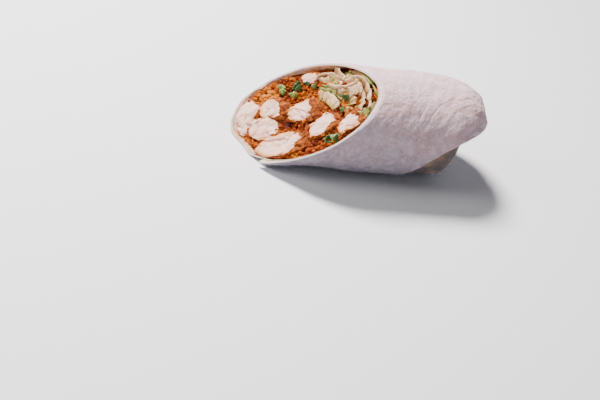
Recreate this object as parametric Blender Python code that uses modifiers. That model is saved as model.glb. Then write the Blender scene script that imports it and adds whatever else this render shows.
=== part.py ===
"""Half a chicken wrap, cut on the slant and lying on its side.

A soft flour tortilla is rolled round strips of breaded chicken, shredded lettuce and crisp crumbs.
The roll lies along X: the slanted cut faces -X, up and a little to the front, and the tucked end is at +X.
Metres, +Z up. The origin is on the floor, in the middle of the flat strip that the roll rests on.
Angles round the roll run from the top (0) over the front (-Y, a quarter turn) to the floor (a half turn).
"""

import math

import bmesh
import bpy
import numpy as np

MM = 0.001
TURN = 2.0 * math.pi

# The roll
AXIS_HEIGHT = 26.2 * MM  # less than the radius, so the underside is pressed flat
ROLL_RADIUS = 27.4 * MM  # outside of the roll, under its outermost layer
SHEET = 1.2 * MM  # thickness of the tortilla
PRESSED_DEPTH = 3.0 * MM  # how deep the flat of the underside still shows
LUMP = 0.45 * MM  # height of the uneven swellings
SWELL = 0.8 * MM  # how much fatter the roll is at its middle
SWELL_X, SWELL_LENGTH = 14.0 * MM, 34.0 * MM
INNER_EDGE_TURN = 0.70  # the second layer ends this share of a turn on from the free edge
INNER_EDGE_WIDTH = 0.012
SEAM_TURN = 0.004  # the free edge's own width, as a share of a turn

# The slanted cut, as x gained for each unit of height and of y
CUT_X = -34.6 * MM
CUT_BY_HEIGHT = 1.11
CUT_BY_Y = -0.458
CUT_BOW = 5.5 * MM  # how far it bows out at the front

# The free edge of the tortilla, low on the front, climbing towards the tucked end
EDGE_LOW, EDGE_HIGH = math.radians(146.0), math.radians(55.0)
EDGE_START_X, EDGE_EASE, EDGE_CLIMB = 16.5 * MM, 4.0 * MM, 15.5 * MM
UNDER_DIP = 2.0 * MM  # how far the layer under the free edge sinks, towards the tucked end
UNDER_TURN, UNDER_START_X, UNDER_LENGTH = 0.82, 20.0 * MM, 18.0 * MM
LIP = 1.5 * MM  # how far the corner of the free edge sticks out of the cut
LIP_TURN = 0.045
LIP_FLARE = 1.2 * MM

# The tucked end
SHOULDER_X, END_X = 42.0 * MM, 72.5 * MM
TUCK = 16.0 * MM  # how much shorter the layer under the flap is
TUCK_START_TURN, TUCK_TURN = 0.35, 0.5
TUCK_MIDDLE, TUCK_RIM = 0.55, 0.5  # the middle of the end lies the first share of it in, inside the second
END_SHIFT_Y, END_SHIFT_Z = 2.0 * MM, 3.0 * MM
END_ROUNDNESS = 2.1
FOLD_DEPTH = 1.7 * MM  # step from one folded layer down to the next
PLEATS, PLEAT_DEPTH = 7, 0.7 * MM
END_SHARES = (0.985, 0.94, 0.86, 0.76, 0.64, 0.57, 0.44, 0.36, 0.20)  # of the radius, ring by ring
END_STEPS = (0, 0, 0, 0, 0, 1, 1, 2, 2)  # layers stepped down at each of those rings

# Rings from the cut: shares of the way to where the free edge starts to climb, then x in mm
OUTER_SHARES, OUTER_ROWS = (0.2, 0.6, 1.0), (20.0, 23.0, 26.0, 29.0, 33.0, 37.0)

# The inside
CAVITY_X, CAVITY_END_X = 36.0 * MM, 50.0 * MM
INNER_SHARES, INNER_ROWS = (0.25, 0.6, 1.0), (20.0, 23.5, 27.0, 31.0)  # the same for the hollow
DOME_SHARES = (0.93, 0.78, 0.5)  # of the radius
GAP, POCKET_GAP = 0.35 * MM, 0.6 * MM  # clearance to the tortilla, and round each strip
SEAM_DEPTH, SEAM_WIDTH = 3.0 * MM, 0.4 * MM  # the line between the two layers, at the cut

# The filling's own face, which lies a little deeper than the cut, and more by the upper wall
FACE_RECESS, TOP_RECESS = 1.4 * MM, 4.6 * MM
TOP_ALONG, TOP_ALONG_WIDTH = -14.0, 20.0  # where the deeper part starts, and how far it takes to sink
TOP_ACROSS, TOP_ACROSS_WIDTH = 6.0, 12.0
TOP_OUT, TOP_OUT_WIDTH = 0.6, 0.3  # the same as shares of the radius
FACE_SHARES = (0.1, 0.22, 0.34, 0.46, 0.58, 0.7, 0.8, 0.9)  # of the radius, ring by ring
FACE_BUMP, BUMP_ALONG, BUMP_ACROSS, BUMP_SLANT = 0.9 * MM, 1.9, 1.6, 5.0
PIT_DEPTH = 5.0 * MM
CRUMB_COUNT, CRUMB_TRIES, CRUMB_SEED = 26, 4000, 7
CRUMB_RADIUS = 1.7 * MM

# Places on the cut face in mm: along its long axis (up towards the short side), and across it
PITS = ((-10.5, -3.5, 3.0), (11.5, 1.5, 2.6), (3.0, -7.5, 2.2))  # along, across, width
# along, across, half length, half width, turn in degrees, how far the cut end stands out
CHICKEN = {
    "chicken_1": (-36.4, 4.4, 10.0, 4.9, 50.0, -0.4),
    "chicken_2": (-25.0, -3.6, 6.6, 5.4, -18.0, 0.4),
    "chicken_3": (-13.0, -16.3, 13.4, 5.4, -6.0, 1.4),
    "chicken_4": (-17.6, 6.8, 6.6, 5.6, -16.0, 0.2),
    "chicken_5": (-0.6, 1.2, 8.0, 5.4, -4.0, 0.8),
    "chicken_6": (10.8, -10.2, 8.0, 4.5, 28.0, 1.2),
    "chicken_7": (26.8, -12.2, 6.4, 5.2, 28.0, 0.6),
    "chicken_8": (4.0, 20.2, 4.4, 2.8, -4.0, 0.4),
}
GREENS = {
    "lettuce_heap": (25.2, 7.6, 14.6, 11.2, -24.0, -2.6),
    "spring_onion": (16.2, -19.8, 3.6, 2.2, 10.0, 0.4),
}
STRAIGHT_END_X, STRIP_END_X = 8.0 * MM, 28.0 * MM  # the strips run through the food to the second
STRIP_SIDES = 18
STRIP_MARGIN = 0.8 * MM  # clearance from a strip to the tortilla
STRIP_FACE = ((0.45, 0.2 * MM), (0.8, 0.1 * MM), (0.96, 0.6 * MM), (1.0, 1.8 * MM))  # size and depth
STRIP_DOME, STRIP_TIP, STRIP_POINT = 0.3 * MM, 1.2 * MM, 1.6 * MM
CUTTER_FRONT, CUTTER_DEPTH = 9.0 * MM, 4.0 * MM  # how far a cutter stands out, and its first ring inside
CHICKEN_CRAG, GREEN_CRAG = 0.07, 0.05  # unevenness of a strip's outline, as a share of its size

# Shreds of lettuce that stand out of the heap: start, middle and end on the cut face in mm, and height
SHREDS = (
    ((12.0, 12.5), (15.5, 19.5), (22.0, 14.5), 2.0),
    ((24.0, 14.5), (31.0, 11.5), (33.0, 5.0), 2.0),
    ((22.0, 11.0), (28.5, 6.5), (32.0, -1.0), 1.8),
    ((12.5, 6.0), (17.0, 5.5), (21.5, 2.0), 1.2),
    ((17.0, 11.0), (21.0, 8.5), (26.0, 2.5), 1.4),
    ((25.5, 12.0), (29.5, 9.5), (32.0, 3.0), 1.6),
)
SHRED_THICKNESS, SHRED_DEPTH, SHRED_WAVE = 1.1 * MM, 5.0 * MM, 0.5 * MM

COLUMNS = 56

CUT_CENTRE = np.array([CUT_X, 0.0, AXIS_HEIGHT])
_slant = math.hypot(CUT_BY_HEIGHT, CUT_BY_Y)
_uphill = np.array([0.0, CUT_BY_Y, CUT_BY_HEIGHT]) / _slant
LONG_AXIS = (np.array([_slant, 0.0, 0.0]) + _uphill) / math.hypot(_slant, 1.0)
CROSS_AXIS = np.array([0.0, CUT_BY_HEIGHT, -CUT_BY_Y]) / _slant


def smoothstep(value):
    value = np.clip(value, 0.0, 1.0)
    return value * value * (3.0 - 2.0 * value)


def lumps(x, angle):
    """Smooth unevenness between about -1 and 1."""
    along = x / MM
    return (
        0.5 * np.sin(3 * angle + along / 11.0)
        + 0.3 * np.sin(5 * angle - along / 7.0 + 1.3)
        + 0.3 * np.sin(2 * angle + along / 17.0 + 2.1)
    )


def edge_angle(x):
    """Where the tortilla's free edge lies round the roll: low, then climbing ever more slowly."""
    run = np.maximum(x - EDGE_START_X, 0.0)
    climbed = 1.0 - np.exp(-(run**2) / (run + EDGE_EASE) / EDGE_CLIMB)
    return EDGE_LOW + (EDGE_HIGH - EDGE_LOW) * climbed


def roll_radius(x, turn):
    angle = edge_angle(x) - TURN * turn
    swell = SWELL * np.exp(-(((x - SWELL_X) / SWELL_LENGTH) ** 2))
    under = smoothstep((turn - UNDER_TURN) / (1.0 - UNDER_TURN))
    dip = UNDER_DIP * under * smoothstep((x - UNDER_START_X) / UNDER_LENGTH)
    return ROLL_RADIUS + swell + LUMP * lumps(x, angle) - dip


def outer_radius(x, turn):
    """One turn of a spiral: the outermost layer thins away into the roll behind the free edge."""
    return roll_radius(x, turn) + SHEET * (1.0 - turn)


def inner_radius(x, turn):
    """Two layers thick up to the inner edge, and one layer from there on."""
    second = 1.0 - smoothstep((turn - INNER_EDGE_TURN) / INNER_EDGE_WIDTH + 0.5)
    return roll_radius(x, turn) - SHEET * turn - SHEET * second


def on_roll(x, radius, turn):
    """Points at this radius, pressed flat where the outside reaches the floor, each layer over the next."""
    angle = edge_angle(x) - TURN * turn
    y = -radius * np.sin(angle)
    lowest = np.clip(outer_radius(x, turn) - radius, 0.0, PRESSED_DEPTH)
    z = np.maximum(AXIS_HEIGHT + radius * np.cos(angle), lowest)
    return np.stack([np.broadcast_to(x, y.shape), y, z], axis=-1)


def cut_x(y, z):
    bow = CUT_BOW * (np.minimum(y, 0.0) / ROLL_RADIUS) ** 2
    return CUT_X + CUT_BY_Y * y + CUT_BY_HEIGHT * (z - AXIS_HEIGHT) - bow


def at_cut(radius, turn, deeper=0.0):
    """A ring of the roll where the slanted cut meets it, or that much deeper."""
    ring = on_roll(np.full(turn.shape, CUT_X), radius, turn)
    ring[:, 0] = cut_x(ring[:, 1], ring[:, 2]) + deeper
    return ring


def columns():
    """Shares of a turn behind the free edge, with two close ones at the inner edge."""
    even = np.linspace(0.0, 1.0 - SEAM_TURN, COLUMNS - 2)
    sharp = INNER_EDGE_TURN + INNER_EDGE_WIDTH * np.array([-0.5, 0.5])
    return np.sort(np.concatenate([even, sharp]))


def material(name, colour, roughness):
    made = bpy.data.materials.new(name)
    made.use_nodes = True
    shader = made.node_tree.nodes["Principled BSDF"]
    shader.inputs["Base Color"].default_value = (*colour, 1.0)
    shader.inputs["Roughness"].default_value = roughness
    shader.inputs["Metallic"].default_value = 0.0
    return made


def loft(name, first, rings, last, finish, collection):
    """A closed solid through unlike rings of equally many points, closed at a point at each end."""
    count = len(rings[0])
    points = [first, *np.concatenate(rings), last]
    faces = []
    for row in range(len(rings) - 1):
        start = 1 + row * count
        for i in range(count):
            j = (i + 1) % count
            faces.append((start + i, start + j, start + count + j, start + count + i))
    tail = 1 + (len(rings) - 1) * count
    for i in range(count):
        j = (i + 1) % count
        faces.append((0, 1 + j, 1 + i))
        faces.append((len(points) - 1, tail + i, tail + j))
    mesh = bpy.data.meshes.new(name)
    mesh.from_pydata([tuple(map(float, p)) for p in points], [], faces)
    shape = bmesh.new()
    shape.from_mesh(mesh)
    bmesh.ops.triangulate(shape, faces=shape.faces)
    if shape.calc_volume(signed=True) < 0:
        bmesh.ops.reverse_faces(shape, faces=shape.faces)
    shape.to_mesh(mesh)
    shape.free()
    mesh.materials.append(finish)
    made = bpy.data.objects.new(name, mesh)
    collection.objects.link(made)
    return made


def rim_rings(turn):
    """The cut edge of the tortilla, from inside to outside, with the line between its two layers."""
    x = np.full(turn.shape, CUT_X)
    inside = inner_radius(x, turn)
    outside = outer_radius(x, turn)
    between = outside - SHEET
    two_layers = 1.0 - smoothstep((turn - INNER_EDGE_TURN) / 0.05 + 1.0)
    depth = SEAM_DEPTH * two_layers
    between = np.where(two_layers > 0.0, between, 0.5 * (inside + outside))
    corner = np.exp(-((turn / LIP_TURN) ** 2))
    lip = -LIP * corner
    flare = LIP_FLARE * corner
    return [
        at_cut(inside, turn),
        at_cut(between - SEAM_WIDTH / 2, turn),
        at_cut(between - SEAM_WIDTH / 3, turn, depth),
        at_cut(between + SEAM_WIDTH / 3, turn, depth),
        at_cut(between + SEAM_WIDTH / 2 + flare, turn, lip),
        at_cut(outside + flare, turn, lip),
    ]


def end_ring(turn, share, steps):
    """A ring of the tucked end: an egg's round, shifted up and back, pleated, stepped down in its folds."""
    reach = (1.0 - share**END_ROUNDNESS) ** (1.0 / END_ROUNDNESS)
    x = SHOULDER_X + (END_X - SHOULDER_X) * reach
    across = np.full(turn.shape, x)
    angle = edge_angle(across) - TURN * turn
    ring = on_roll(across, outer_radius(across, turn) * share, turn)
    pleat = np.sin(PLEATS * angle + 4.0 * share) * (1.0 - share)
    rim = smoothstep(share / TUCK_RIM)
    tuck = smoothstep((turn - TUCK_START_TURN) / TUCK_TURN) * rim + TUCK_MIDDLE * (1.0 - rim)
    ring[:, 0] += PLEAT_DEPTH * pleat - FOLD_DEPTH * steps - TUCK * tuck * reach
    ring[:, 1] += END_SHIFT_Y * reach**2
    ring[:, 2] += END_SHIFT_Z * reach**2
    return ring


def row_places(rim_x, shares, rows):
    """The x of each ring between the cut and the end, and how near it is to the cut."""
    places = [(rim_x + (EDGE_START_X - rim_x) * share, 1.0 - share) for share in shares]
    return places + [(np.full(rim_x.shape, row * MM), 0.0) for row in rows]


def cavity_rings(turn, gap):
    """Rings of the hollow from inside the cut to its rounded end, or of a filling this much smaller."""
    rim_x = at_cut(inner_radius(np.full(turn.shape, CUT_X), turn), turn)[:, 0]
    rings = []
    for x, _ in row_places(rim_x, INNER_SHARES, (*INNER_ROWS, CAVITY_X / MM)):
        rings.append(on_roll(x, inner_radius(x, turn) - gap, turn))
    for share in DOME_SHARES:
        reach = (CAVITY_END_X - CAVITY_X) * math.sqrt(1.0 - share**2) - gap
        x = np.full(turn.shape, CAVITY_X + reach)
        rings.append(on_roll(x, (inner_radius(x, turn) - gap) * share, turn))
    return rings


def build_tortilla(collection):
    turn = columns()
    rim = rim_rings(turn)
    inner = cavity_rings(turn, 0.0)
    outer = []
    for x, near in row_places(rim[-1][:, 0], OUTER_SHARES, (*OUTER_ROWS, SHOULDER_X / MM)):
        flare = LIP_FLARE * np.exp(-((turn / LIP_TURN) ** 2)) * near**3
        outer.append(on_roll(x, outer_radius(x, turn) + flare, turn))
    outer += [end_ring(turn, share, step) for share, step in zip(END_SHARES, END_STEPS)]
    inside_end = (CAVITY_END_X, 0.0, AXIS_HEIGHT)
    outside_end = (
        END_X - FOLD_DEPTH * END_STEPS[-1] - TUCK * TUCK_MIDDLE,
        END_SHIFT_Y,
        AXIS_HEIGHT + END_SHIFT_Z,
    )
    finish = material("flour tortilla", (0.78, 0.66, 0.60), 0.75)
    return loft("tortilla", inside_end, inner[::-1] + rim + outer, outside_end, finish, collection)


def face_recess(y, z):
    """How much deeper than the cut the filling's face lies: more by the upper wall, bumpy, with some pits."""
    offset = np.stack([cut_x(y, z) - CUT_X, y, z - AXIS_HEIGHT], axis=-1)
    along, across = offset @ LONG_AXIS / MM, offset @ CROSS_AXIS / MM
    out = np.hypot(y, z - AXIS_HEIGHT) / ROLL_RADIUS
    top = smoothstep((along - TOP_ALONG) / TOP_ALONG_WIDTH)
    top *= smoothstep((across - TOP_ACROSS) / TOP_ACROSS_WIDTH)
    recess = FACE_RECESS + TOP_RECESS * smoothstep((out - TOP_OUT) / TOP_OUT_WIDTH) * top
    ripple = np.sin(across / BUMP_ACROSS + along / BUMP_SLANT)
    recess += FACE_BUMP * np.sin(along / BUMP_ALONG + 0.7) * ripple
    for pit_along, pit_across, width in PITS:
        distance = ((along - pit_along) ** 2 + (across - pit_across) ** 2) / width**2
        recess += PIT_DEPTH * np.exp(-distance)
    return recess


def build_core(collection):
    """The crumb and sauce filling between the strips, as one block inside the tortilla."""
    turn = columns()
    wall = cavity_rings(turn, GAP)
    radius = inner_radius(np.full(turn.shape, CUT_X), turn) - GAP
    edge = at_cut(radius, turn)
    recess = face_recess(edge[:, 1], edge[:, 2])
    inward = (recess / (wall[0][:, 0] - edge[:, 0]))[:, None]
    edge = edge + (wall[0] - edge) * inward
    face = []
    for share in FACE_SHARES:
        ring = on_roll(np.full(turn.shape, CUT_X), radius * share, turn)
        ring[:, 0] = cut_x(ring[:, 1], ring[:, 2]) + face_recess(ring[:, 1], ring[:, 2])
        face.append(ring)
    front = (CUT_X + float(face_recess(np.array(0.0), np.array(AXIS_HEIGHT))), 0.0, AXIS_HEIGHT)
    back = (CAVITY_END_X - 2 * GAP, 0.0, AXIS_HEIGHT)
    finish = material("crisp crumb in sauce", (0.47, 0.13, 0.03), 0.45)
    return loft("crumb_filling", front, face + [edge] + wall, back, finish, collection)


def on_face(along, across):
    """Y and height above the axis of a place on the cut face."""
    y = along * LONG_AXIS[1] + across * CROSS_AXIS[1]
    height = along * LONG_AXIS[2] + across * CROSS_AXIS[2]
    return y, height


def outline(strip, crag, grow):
    """A strip's outline as it shows on the cut face, seen along the roll."""
    along, across, half_length, half_width, degrees = (
        strip[0] * MM,
        strip[1] * MM,
        strip[2] * MM,
        strip[3] * MM,
        strip[4],
    )
    angle = np.arange(STRIP_SIDES) * TURN / STRIP_SIDES
    uneven = 1.0 + crag * (np.sin(2 * angle + strip[0]) + 0.6 * np.sin(5 * angle + strip[1]))
    square = (np.abs(np.cos(angle)) ** 2.6 + np.abs(np.sin(angle)) ** 2.6) ** (-1 / 2.6)
    right = (half_length * square * uneven + grow) * np.cos(angle)
    up = (half_width * square * uneven + grow) * np.sin(angle)
    turned = math.radians(degrees)
    return on_face(
        along + right * math.cos(turned) - up * math.sin(turned),
        across + right * math.sin(turned) + up * math.cos(turned),
    )


class Strip:
    """Rings of a strip that runs back through the food from its cut end."""

    def __init__(self, strip, crag, grow):
        self.y, self.height = outline(strip, crag, grow)
        self.stands_out = strip[5] * MM
        self.grow = grow

    def held(self, x, margin):
        """The outline pulled in where it would come nearer to the tortilla than the margin."""
        turn = ((edge_angle(x) - np.arctan2(-self.y, self.height)) / TURN) % 1.0
        wall = inner_radius(x, turn) - margin
        pull = np.minimum(1.0, wall / np.hypot(self.y, self.height))
        return self.y * pull, self.height * pull

    def at_cut(self, share, deeper):
        """A ring along the cut. A cutter's isn't held, so that it leaves nothing by the wall."""
        y, height = self.y, self.height
        if not self.grow:
            y, height = self.held(cut_x(y, height + AXIS_HEIGHT), STRIP_MARGIN)
        ring_y = y.mean() + (y - y.mean()) * share
        ring_z = AXIS_HEIGHT + height.mean() + (height - height.mean()) * share
        return np.stack([cut_x(ring_y, ring_z) + deeper, ring_y, ring_z], axis=-1)

    def across(self, share, x):
        """A ring square to the roll, further from the wall, whose unevenness it doesn't follow."""
        y, height = self.held(np.full(STRIP_SIDES, x), STRIP_MARGIN + 2.0 * LUMP - self.grow)
        ring_y = y.mean() + (y - y.mean()) * share
        ring_z = AXIS_HEIGHT + height.mean() + (height - height.mean()) * share
        return np.stack([np.full(STRIP_SIDES, x), ring_y, ring_z], axis=-1)


def build_strip(name, strip, crag, finish, collection):
    """A strip with an uneven, slightly domed cut end."""
    made = Strip(strip, crag, 0.0)
    out = -made.stands_out
    rings = [made.at_cut(share, out + deeper) for share, deeper in STRIP_FACE]
    rings += [
        made.across(1.0, STRAIGHT_END_X),
        made.across(0.96, 0.5 * (STRAIGHT_END_X + STRIP_END_X)),
        made.across(0.9, STRIP_END_X),
        made.across(0.6, STRIP_END_X + STRIP_TIP),
    ]
    first = made.at_cut(0.0, out - STRIP_DOME)[0]
    last = made.across(0.0, STRIP_END_X + STRIP_POINT)[0]
    return loft(name, first, rings, last, finish, collection)


def build_cutter(name, strip, crag, collection):
    """The same strip grown by the gap and longer at the cut, to hollow the filling around it."""
    grown = Strip(strip, crag, POCKET_GAP)
    end = STRIP_END_X + STRIP_POINT + GAP
    rings = [
        grown.at_cut(1.0, -CUTTER_FRONT),
        grown.at_cut(1.0, CUTTER_DEPTH),
        grown.across(1.0, STRAIGHT_END_X),
        grown.across(1.0, end),
    ]
    first = grown.at_cut(0.0, -CUTTER_FRONT)[0]
    made = loft(name + "_cutter", first, rings, grown.across(0.0, end)[0], None, collection)
    made.hide_render = True
    made.display_type = "WIRE"
    return made


def covers(strip, crag, grow, y, height):
    """Whether a strip's outline, grown this much, holds a point of the section."""
    ring_y, ring_height = outline(strip, crag, grow)
    next_y, next_height = np.roll(ring_y, -1), np.roll(ring_height, -1)
    side = (next_y - ring_y) * (height - ring_height) - (next_height - ring_height) * (y - ring_y)
    return bool(np.all(side > 0.0) or np.all(side < 0.0))


def crumb_places(wall):
    """Places on the filling's face that are clear of every strip, spread by a seeded draw."""
    draw = np.random.default_rng(CRUMB_SEED)
    chosen = []
    for _ in range(CRUMB_TRIES):
        if len(chosen) == CRUMB_COUNT:
            break
        along, across = draw.uniform(-40.0, 40.0) * MM, draw.uniform(-24.0, 24.0) * MM
        radius = CRUMB_RADIUS * draw.uniform(0.7, 1.25)
        y, height = on_face(along, across)
        room = 1.2 * radius + GAP
        if math.hypot(y, height) > wall - room:
            continue
        if any(covers(strip, CHICKEN_CRAG, room + GAP, y, height) for strip in CHICKEN.values()):
            continue
        if any(covers(strip, GREEN_CRAG, room + GAP, y, height) for strip in GREENS.values()):
            continue
        if all(math.hypot(y - other[0], height - other[1]) > 1.2 * radius for other in chosen):
            chosen.append((float(y), float(height), radius))
    return chosen


def build_crumbs(collection, finish):
    """Craggy crumbs half sunk in the filling's face."""
    draw = np.random.default_rng(CRUMB_SEED + 1)
    wall = ROLL_RADIUS - 2.0 * SHEET - LUMP
    for number, (y, height, radius) in enumerate(crumb_places(wall)):
        z = height + AXIS_HEIGHT
        mesh = bpy.data.meshes.new(f"crumb_{number}")
        shape = bmesh.new()
        bmesh.ops.create_icosphere(shape, subdivisions=1, radius=radius)
        for corner in shape.verts:
            corner.co *= draw.uniform(0.75, 1.2)
        shape.to_mesh(mesh)
        shape.free()
        mesh.materials.append(finish)
        made = bpy.data.objects.new(f"crumb_{number}", mesh)
        recess = float(face_recess(np.array(y), np.array(z)))
        made.location = (cut_x(y, z) + recess - 0.3 * radius, y, z)
        collection.objects.link(made)


def build_shreds(collection, finish, grow):
    """Wavy ribbons of lettuce that stand out of the heap, each a bent grid with a thickness."""
    normal = np.cross(LONG_AXIS, CROSS_AXIS)
    normal *= -math.copysign(1.0, normal[0])
    for number, (start, middle, end, height) in enumerate(SHREDS):
        mesh = bpy.data.meshes.new(f"shred_{number}")
        shape = bmesh.new()
        bmesh.ops.create_grid(shape, x_segments=9, y_segments=1, size=0.5)
        for corner in shape.verts:
            share, side = corner.co.x + 0.5, corner.co.y + 0.5
            place = np.array(start) * (1.0 - share) ** 2
            place += np.array(middle) * 2.0 * share * (1.0 - share)
            place += np.array(end) * share**2
            across = place[1] * MM + SHRED_WAVE * math.sin(share * 9.0 + 1.7 * number)
            along = place[0] * MM + grow * (2.0 * share - 1.0)
            top = height * MM * (0.8 + 0.2 * math.sin(share * 7.0)) + grow
            lift = side * top - (1.0 - side) * (SHRED_DEPTH + grow)
            corner.co = CUT_CENTRE + LONG_AXIS * along + CROSS_AXIS * across + normal * lift
        shape.to_mesh(mesh)
        shape.free()
        mesh.materials.append(finish)
        made = bpy.data.objects.new(f"shred_{number}", mesh)
        thick = made.modifiers.new("thickness", "SOLIDIFY")
        thick.thickness = SHRED_THICKNESS + 2.0 * grow
        thick.offset = 0.0
        collection.objects.link(made)


def join(target, collection, operation):
    """One Boolean of the whole collection, applied; a union's pieces are then removed."""
    cut = target.modifiers.new(operation.lower(), "BOOLEAN")
    cut.operation = operation
    cut.operand_type = "COLLECTION"
    cut.collection = collection
    cut.solver = "EXACT"
    bpy.context.view_layer.update()
    graph = bpy.context.evaluated_depsgraph_get()
    mesh = bpy.data.meshes.new_from_object(target.evaluated_get(graph))
    target.modifiers.clear()
    target.data = mesh
    for helper in list(collection.objects):
        bpy.data.objects.remove(helper)
    bpy.data.collections.remove(collection)


def helper_collection(name):
    made = bpy.data.collections.new(name)
    bpy.context.scene.collection.children.link(made)
    return made


def main():
    for old in list(bpy.data.objects):
        bpy.data.objects.remove(old)
    wrap = bpy.data.collections.new("chicken wrap")
    bpy.context.scene.collection.children.link(wrap)
    meat = material("breaded chicken", (0.80, 0.58, 0.48), 0.55)
    leaf = material("lettuce", (0.42, 0.45, 0.16), 0.45)

    build_tortilla(wrap)
    core = build_core(wrap)
    cutters = helper_collection("cutters")
    for name, strip in CHICKEN.items():
        build_strip(name, strip, CHICKEN_CRAG, meat, wrap)
        build_cutter(name, strip, CHICKEN_CRAG, cutters)
    for name, strip in GREENS.items():
        build_strip(name, strip, GREEN_CRAG, leaf, wrap)
        build_cutter(name, strip, GREEN_CRAG, cutters)
    build_shreds(cutters, leaf, POCKET_GAP)
    join(core, cutters, "DIFFERENCE")

    crumbs = helper_collection("crumbs")
    build_crumbs(crumbs, core.data.materials[0])
    join(core, crumbs, "UNION")

    shreds = helper_collection("shreds")
    build_shreds(shreds, leaf, 0.0)
    join(bpy.data.objects["lettuce_heap"], shreds, "UNION")


main()
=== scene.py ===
"""Half a chicken wrap, cut on the slant: its finished surfaces, its materials, a pale floor and soft light.

Metres, +Z up. The roll lies along X, with the slanted cut at -X and the tucked end at +X.
Angles round the roll run from the top (0) over the front (-Y, a quarter turn) to the floor (a half turn).
Places on the cut face are in mm: along its long axis, towards the short side, and across it.
"""

import math
from itertools import combinations

import bpy
import numpy as np
from bpy.props import FloatProperty, FloatVectorProperty, IntProperty, PointerProperty
from mathutils import Matrix


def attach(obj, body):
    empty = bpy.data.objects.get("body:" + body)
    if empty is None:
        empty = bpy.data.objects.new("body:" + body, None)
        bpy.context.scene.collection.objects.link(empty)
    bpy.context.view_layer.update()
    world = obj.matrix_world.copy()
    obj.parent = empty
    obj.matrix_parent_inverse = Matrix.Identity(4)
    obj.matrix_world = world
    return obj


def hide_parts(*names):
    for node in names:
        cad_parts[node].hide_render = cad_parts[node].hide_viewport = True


bl_info = {
    "name": "Chicken wrap",
    "version": (1, 0, 0),
    "blender": (4, 5, 0),
    "location": "3D View > Sidebar > Wrap",
    "description": "Builds the finished surfaces of a cut chicken wrap",
    "category": "Add Mesh",
}

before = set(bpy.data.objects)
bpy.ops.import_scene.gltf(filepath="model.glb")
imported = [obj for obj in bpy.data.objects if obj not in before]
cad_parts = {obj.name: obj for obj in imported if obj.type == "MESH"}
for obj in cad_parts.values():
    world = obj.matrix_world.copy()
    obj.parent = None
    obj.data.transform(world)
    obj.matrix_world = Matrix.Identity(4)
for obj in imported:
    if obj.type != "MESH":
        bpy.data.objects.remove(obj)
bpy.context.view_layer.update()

MM = 0.001
TURN = 2.0 * math.pi

# The roll
AXIS_HEIGHT = 26.2 * MM  # less than the radius, so the underside is pressed flat
ROLL_RADIUS = 27.4 * MM  # outside of the roll, under its outermost layer
SHEET = 1.2 * MM  # thickness of the tortilla
PRESSED_DEPTH = 3.0 * MM  # how deep the flat of the underside still shows
LUMP = 0.45 * MM  # height of the uneven swellings
SWELL, SWELL_X, SWELL_LENGTH = 0.8 * MM, 14.0 * MM, 34.0 * MM
INNER_EDGE_TURN = 0.70  # the second layer ends this share of a turn on from the free edge
INNER_EDGE_WIDTH = 0.012
TAPER_TURN = 0.05  # at the cut the second layer thins out over this share of a turn

# The slanted cut, as x gained for each unit of height and of y, and how far it bows out at the front
CUT_X, CUT_BY_HEIGHT, CUT_BY_Y, CUT_BOW = -34.6 * MM, 1.11, -0.458, 5.5 * MM

# The free edge of the tortilla, low on the front, climbing towards the tucked end
EDGE_LOW, EDGE_HIGH = math.radians(146.0), math.radians(55.0)
EDGE_START_X, EDGE_EASE, EDGE_CLIMB = 16.5 * MM, 4.0 * MM, 15.5 * MM
UNDER_DIP = 2.0 * MM  # how far the layer under the free edge sinks, towards the tucked end
UNDER_TURN, UNDER_START_X, UNDER_LENGTH = 0.82, 20.0 * MM, 18.0 * MM
LIP = 1.5 * MM  # how far the corner of the free edge sticks out of the cut
LIP_TURN, LIP_FLARE = 0.045, 1.2 * MM
EDGE_ROUND, EDGE_ROUND_TURN = 0.75 * MM, 0.0016  # the free edge rounds over
EDGE_DIP, EDGE_DIP_TURN = 1.0 * MM, 0.0052  # the skin dips where it runs under it

# The skin's relief: soft swellings, fine dimples, creases and crinkles
SOFT_RELIEF, FINE_RELIEF = 0.40 * MM, 0.20 * MM
CREASE, CREASE_BY_EDGE = 0.12 * MM, 0.34 * MM  # everywhere, and more along the free edge
CREASE_X, CREASE_LENGTH = -12.0 * MM, 50.0 * MM  # they grow over this length
CREASE_BEHIND, CREASE_FADE = 40.0 * MM, 35.0 * MM  # and fade behind the free edge
CRINKLE, CRINKLE_X, CRINKLE_LENGTH = 0.60 * MM, 36.0 * MM, 20.0 * MM
SKIN_DROP = 0.15 * MM  # how much lower the skin lies than the solid's, to make room for them
FLAP_SHADE_TURN, FLAP_SHADE_TURN_WIDTH = 0.76, 0.20  # the layer under the free edge is painted darker and browner from here on, as painted shade
FLAP_SHADE_X, FLAP_SHADE_LENGTH = 16.0 * MM, 20.0 * MM

# The tucked end
SHOULDER_X, END_X = 42.0 * MM, 72.5 * MM
TUCK = 16.0 * MM  # how much shorter the layer under the flap is
TUCK_START_TURN, TUCK_TURN = 0.35, 0.5
TUCK_MIDDLE, TUCK_RIM = 0.55, 0.5  # the middle of the end lies the first share of it in, inside the second
END_SHIFT_Y, END_SHIFT_Z = 2.0 * MM, 3.0 * MM
END_ROUNDNESS = 2.1
FOLD_DEPTH, FOLD_SHARES = 1.7 * MM, (0.60, 0.40)  # layers step down at these shares of the radius
FOLD_WIDTH, FOLD_WAVER = 0.035, 0.02  # of the radius
PLEATS, PLEAT_DEPTH = 7, 0.7 * MM
PUCKER_DEPTH = 1.3 * MM

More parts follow.
